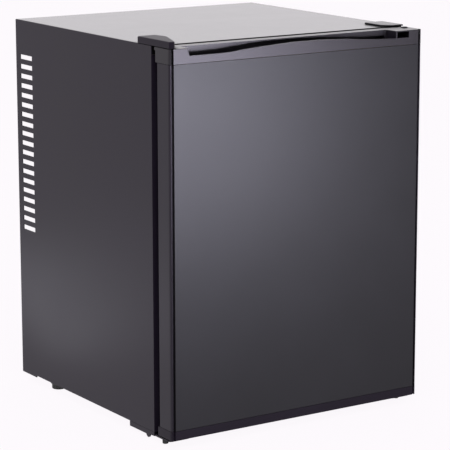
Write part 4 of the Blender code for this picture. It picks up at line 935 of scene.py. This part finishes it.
add_piece("link_pipes", pipes, "cabinet", pipe_lacquer)
add_piece("weld_beads", welds, "cabinet", pipe_lacquer)
print("pipes:", len(pipes), "weld beads:", len(welds))


# %% [markdown]
# ## The boiler's case and the gland
# The case is zinc sheet rolled into a tube: two grooves stiffen it and a lock seam closes it. The
# gland is a rubber sleeve whose grooves let the mains lead bend softly. Both are turned profiles.

# %% Boiler case and gland
CASE_RADIUS = 0.0253
GLAND_FACE = 0.1820
GLAND_MIDDLE = (0.035, 0.038)


def case_surface(sides=96):
    """Rolled sheet: a plain radius with two pressed grooves round it and one raised lock seam up it."""
    along = np.concatenate([[0.0765, 0.0750], np.linspace(0.0756, 0.3285, 70), [0.3300, 0.3300]])
    base = np.concatenate([[0.0085, 0.0243], np.full(70, CASE_RADIUS), [0.0243, 0.0085]])
    grooves = 0.0009 * (np.exp(-((along - 0.095) / 0.0022) ** 2) + np.exp(-((along - 0.310) / 0.0022) ** 2))
    angle = around(sides)
    seam = 0.0007 * (abs(angle - 1.9) < 0.16) * (base > 0.025)[:, None]
    return turned(along, (base - grooves)[:, None] + seam, (BOILER_MIDDLE, UNIT_PLANE), "Z", sides)


case = add_piece("rolled_boiler_case", [case_surface()], "cabinet", zinc_plate, ["boiler_case"])


def gland_surface(sides=40):
    """Flange and tapered sleeve with four grooves outside, and a straight bore inside, as one ring."""
    outside = [(-8.0, 5.9), (0.3, 5.9), (0.3, 9.0), (0.8, 9.5), (3.4, 9.5), (4.0, 9.0), (4.1, 6.4),
               (5.2, 6.4), (5.3, 5.2), (6.2, 5.2), (6.3, 6.0), (7.6, 6.0), (7.7, 4.9), (8.6, 4.9),
               (8.7, 5.6), (10.0, 5.5), (10.1, 4.6), (11.0, 4.6), (11.2, 5.0), (11.8, 4.8)]
    inside = [(11.8, 3.7), (-8.0, 3.7)]
    profile = MM * np.array(outside + inside)
    points, _ = turned(GLAND_FACE + profile[:, 0], profile[:, 1], GLAND_MIDDLE, "Y", sides)
    return points, grid_faces(len(profile), sides, wrap_rows=True, wrap_columns=True)


gland = add_piece("grooved_gland", [gland_surface()], "cabinet", seal_rubber,
                  ["mains_inlet_gland"])
print("case faces:", len(case.data.polygons), "gland faces:", len(gland.data.polygons))


# %% [markdown]
# ## The room
# A catalogue photograph is taken on a white sweep. The floor is pale and keeps a trace of the soft
# shadow. The world shows plain white to the camera while it lights the scene with a gentler fill.
# Gloss and glass see that white low down, and mostly the fill overhead, like a studio's ceiling.

# %% Floor and world
STUDIO_WHITE = (1.0, 0.968, 1.0, 1.0)
PLAIN_WHITE = (1.0, 1.0, 1.0, 1.0)
FLOOR_HALF = 6.0
FLOOR_DROP = 0.0002
FLOOR_GLOW = 0.955
FILL_AHEAD, FILL_BEHIND = 0.60, 0.90
CEILING_FROM, CEILING_FULL = 0.45, 0.75
CEILING_WHITE = 0.12


def make_floor():
    """Wide pale plane just under the feet, nearly all self-lit where it is seen, so that it looks white."""
    corners = [[-FLOOR_HALF, -FLOOR_HALF, -FLOOR_DROP], [FLOOR_HALF, -FLOOR_HALF, -FLOOR_DROP],
               [FLOOR_HALF, FLOOR_HALF, -FLOOR_DROP], [-FLOOR_HALF, FLOOR_HALF, -FLOOR_DROP]]
    mesh = bpy.data.meshes.new("studio_floor")
    mesh.from_pydata(corners, [], [[0, 1, 2, 3]])
    floor = bpy.data.objects.new("studio_floor", mesh)
    scene.collection.objects.link(floor)
    finish = Finish("floor_paper", Roughness=0.9, Specular_IOR_Level=0.1)
    tone = finish.noise(finish.spots(), 3.0, 3.0)
    finish.into("Base Color", finish.ramp(tone, (0.3, (0.78, 0.77, 0.78)), (0.7, (0.81, 0.80, 0.81))))
    glow = finish.add("ShaderNodeEmission", {"Color": STUDIO_WHITE, "Strength": 1.0})
    finish.show_mix(finish.of_kinds("Camera", "Glossy", "Transmission") * FLOOR_GLOW, finish.shader, glow)
    mesh.materials.append(finish.material)


def sky_share(tree, axis, start, end, first, last):
    """Amount that goes from first to last while the way looked along one axis goes from start to end."""
    way = tree.add("ShaderNodeTexCoord", output="Generated")
    along = tree.add("ShaderNodeSeparateXYZ", {0: way}, output=axis)
    return tree.add("ShaderNodeMapRange", {"Value": along, "From Min": start, "From Max": end,
                                           "To Min": first, "To Max": last}, output="Result")


def make_world():
    """White to the camera; in gloss and glass white low down and fill overhead; elsewhere the fill."""
    world = bpy.data.worlds.new("studio_world")
    tree = Tree(world, "World Output")
    fill = tree.nodes["Background"]
    tree.feed(fill.inputs["Color"], PLAIN_WHITE)
    tree.feed(fill.inputs["Strength"], sky_share(tree, "Y", -1.0, 1.0, FILL_AHEAD, FILL_BEHIND))
    white = tree.add("ShaderNodeBackground", {"Color": STUDIO_WHITE})
    low_down = sky_share(tree, "Z", CEILING_FROM, CEILING_FULL, 1.0, CEILING_WHITE)
    seen = tree.of_kinds("Camera").at_least(tree.of_kinds("Glossy", "Transmission") * low_down)
    tree.show_mix(seen, Amount(tree, fill.outputs[0]), white)
    scene.world = world


make_floor()
make_world()
print("room:", scene.world.name, "and a floor of", 2 * FLOOR_HALF, "m")


# %% [markdown]
# ## The lamps
# One large softbox at the upper left gives the light a side and the fridge its shadow. The photograph
# also shows soft gradients in the gloss of the door and of the side, which come from the studio's
# reflectors. Two cards stand for these: lamps that light nothing diffusely, and show only in the
# gloss of the pieces named.

# %% Softbox and cards
def add_softbox(name, place, target, width, height, power, colour=(1.0, 1.0, 1.0), card_for=()):
    """Rectangular area lamp that looks at a target; a card shows only in the gloss of rounded copies."""
    lamp = bpy.data.lights.new(name, "AREA")
    lamp.shape = "RECTANGLE"
    lamp.size = width
    lamp.size_y = height
    lamp.energy = power
    lamp.color = colour
    holder = bpy.data.objects.new(name, lamp)
    holder.location = place
    holder.visible_camera = False
    if card_for:
        holder.visible_diffuse = False
        pieces = bpy.data.collections.new(name + "_pieces")
        for node in card_for:
            pieces.objects.link(bpy.data.objects[node + "_rounded"])
        holder.light_linking.receiver_collection = pieces
    aim = Vector(target) - Vector(place)
    holder.rotation_euler = aim.to_track_quat("-Z", "Y").to_euler()
    scene.collection.objects.link(holder)


FRONT_PIECES = ("door_front_panel", "door_top_cap", "door_bottom_cap", "left_door_stile",
                "right_door_stile")
SIDE_PIECES = ("left_side_panel", "left_door_stile", "bottom_hinge_bracket")
add_softbox("key_softbox", place=(-0.9, -1.5, 2.1), target=(0.0, 0.0, 0.3), width=1.2, height=1.2,
            power=22.0)
add_softbox("front_card", place=(0.14, -1.117, 0.351), target=(-0.1, -0.2, 0.4), width=0.72, height=0.41,
            power=21.5, colour=(0.86, 0.85, 1.0), card_for=FRONT_PIECES)
add_softbox("low_card", place=(-0.365, 0.405, 0.060), target=(-0.365, 0.112, 1.060), width=0.134,
            height=0.343, power=0.26, colour=(0.90, 0.90, 1.0), card_for=SIDE_PIECES)


# %% [markdown]
# ## The camera
# The viewpoint was worked out from the corners of the cabinet and the door in the photograph: a long
# lens, turned 33 degrees to the left of the door and looking 12 degrees down.

# %% Camera
CAMERA_PLACE = (-1.6848, -2.5996, 0.9024)
CAMERA_TURN = math.radians(33.223)
CAMERA_DIP = math.radians(11.849)
CAMERA_ROLL = math.radians(-0.083)
FOCAL_PIXELS = 2146.15
PHOTO_WIDTH = 450
SENSOR = 36.0

lens = bpy.data.cameras.new("photo_camera")
lens.sensor_width = SENSOR
lens.lens = FOCAL_PIXELS / PHOTO_WIDTH * SENSOR
lens.clip_end = 50.0
eye = bpy.data.objects.new("photo_camera", lens)
eye.matrix_world = (Matrix.Translation(CAMERA_PLACE) @ Matrix.Rotation(-CAMERA_TURN, 4, "Z")
                    @ Matrix.Rotation(math.pi / 2 - CAMERA_DIP, 4, "X")
                    @ Matrix.Rotation(CAMERA_ROLL, 4, "Z"))
scene.collection.objects.link(eye)
scene.camera = eye
scene.view_settings.view_transform = "Standard"
print("lens", round(lens.lens, 1), "mm")
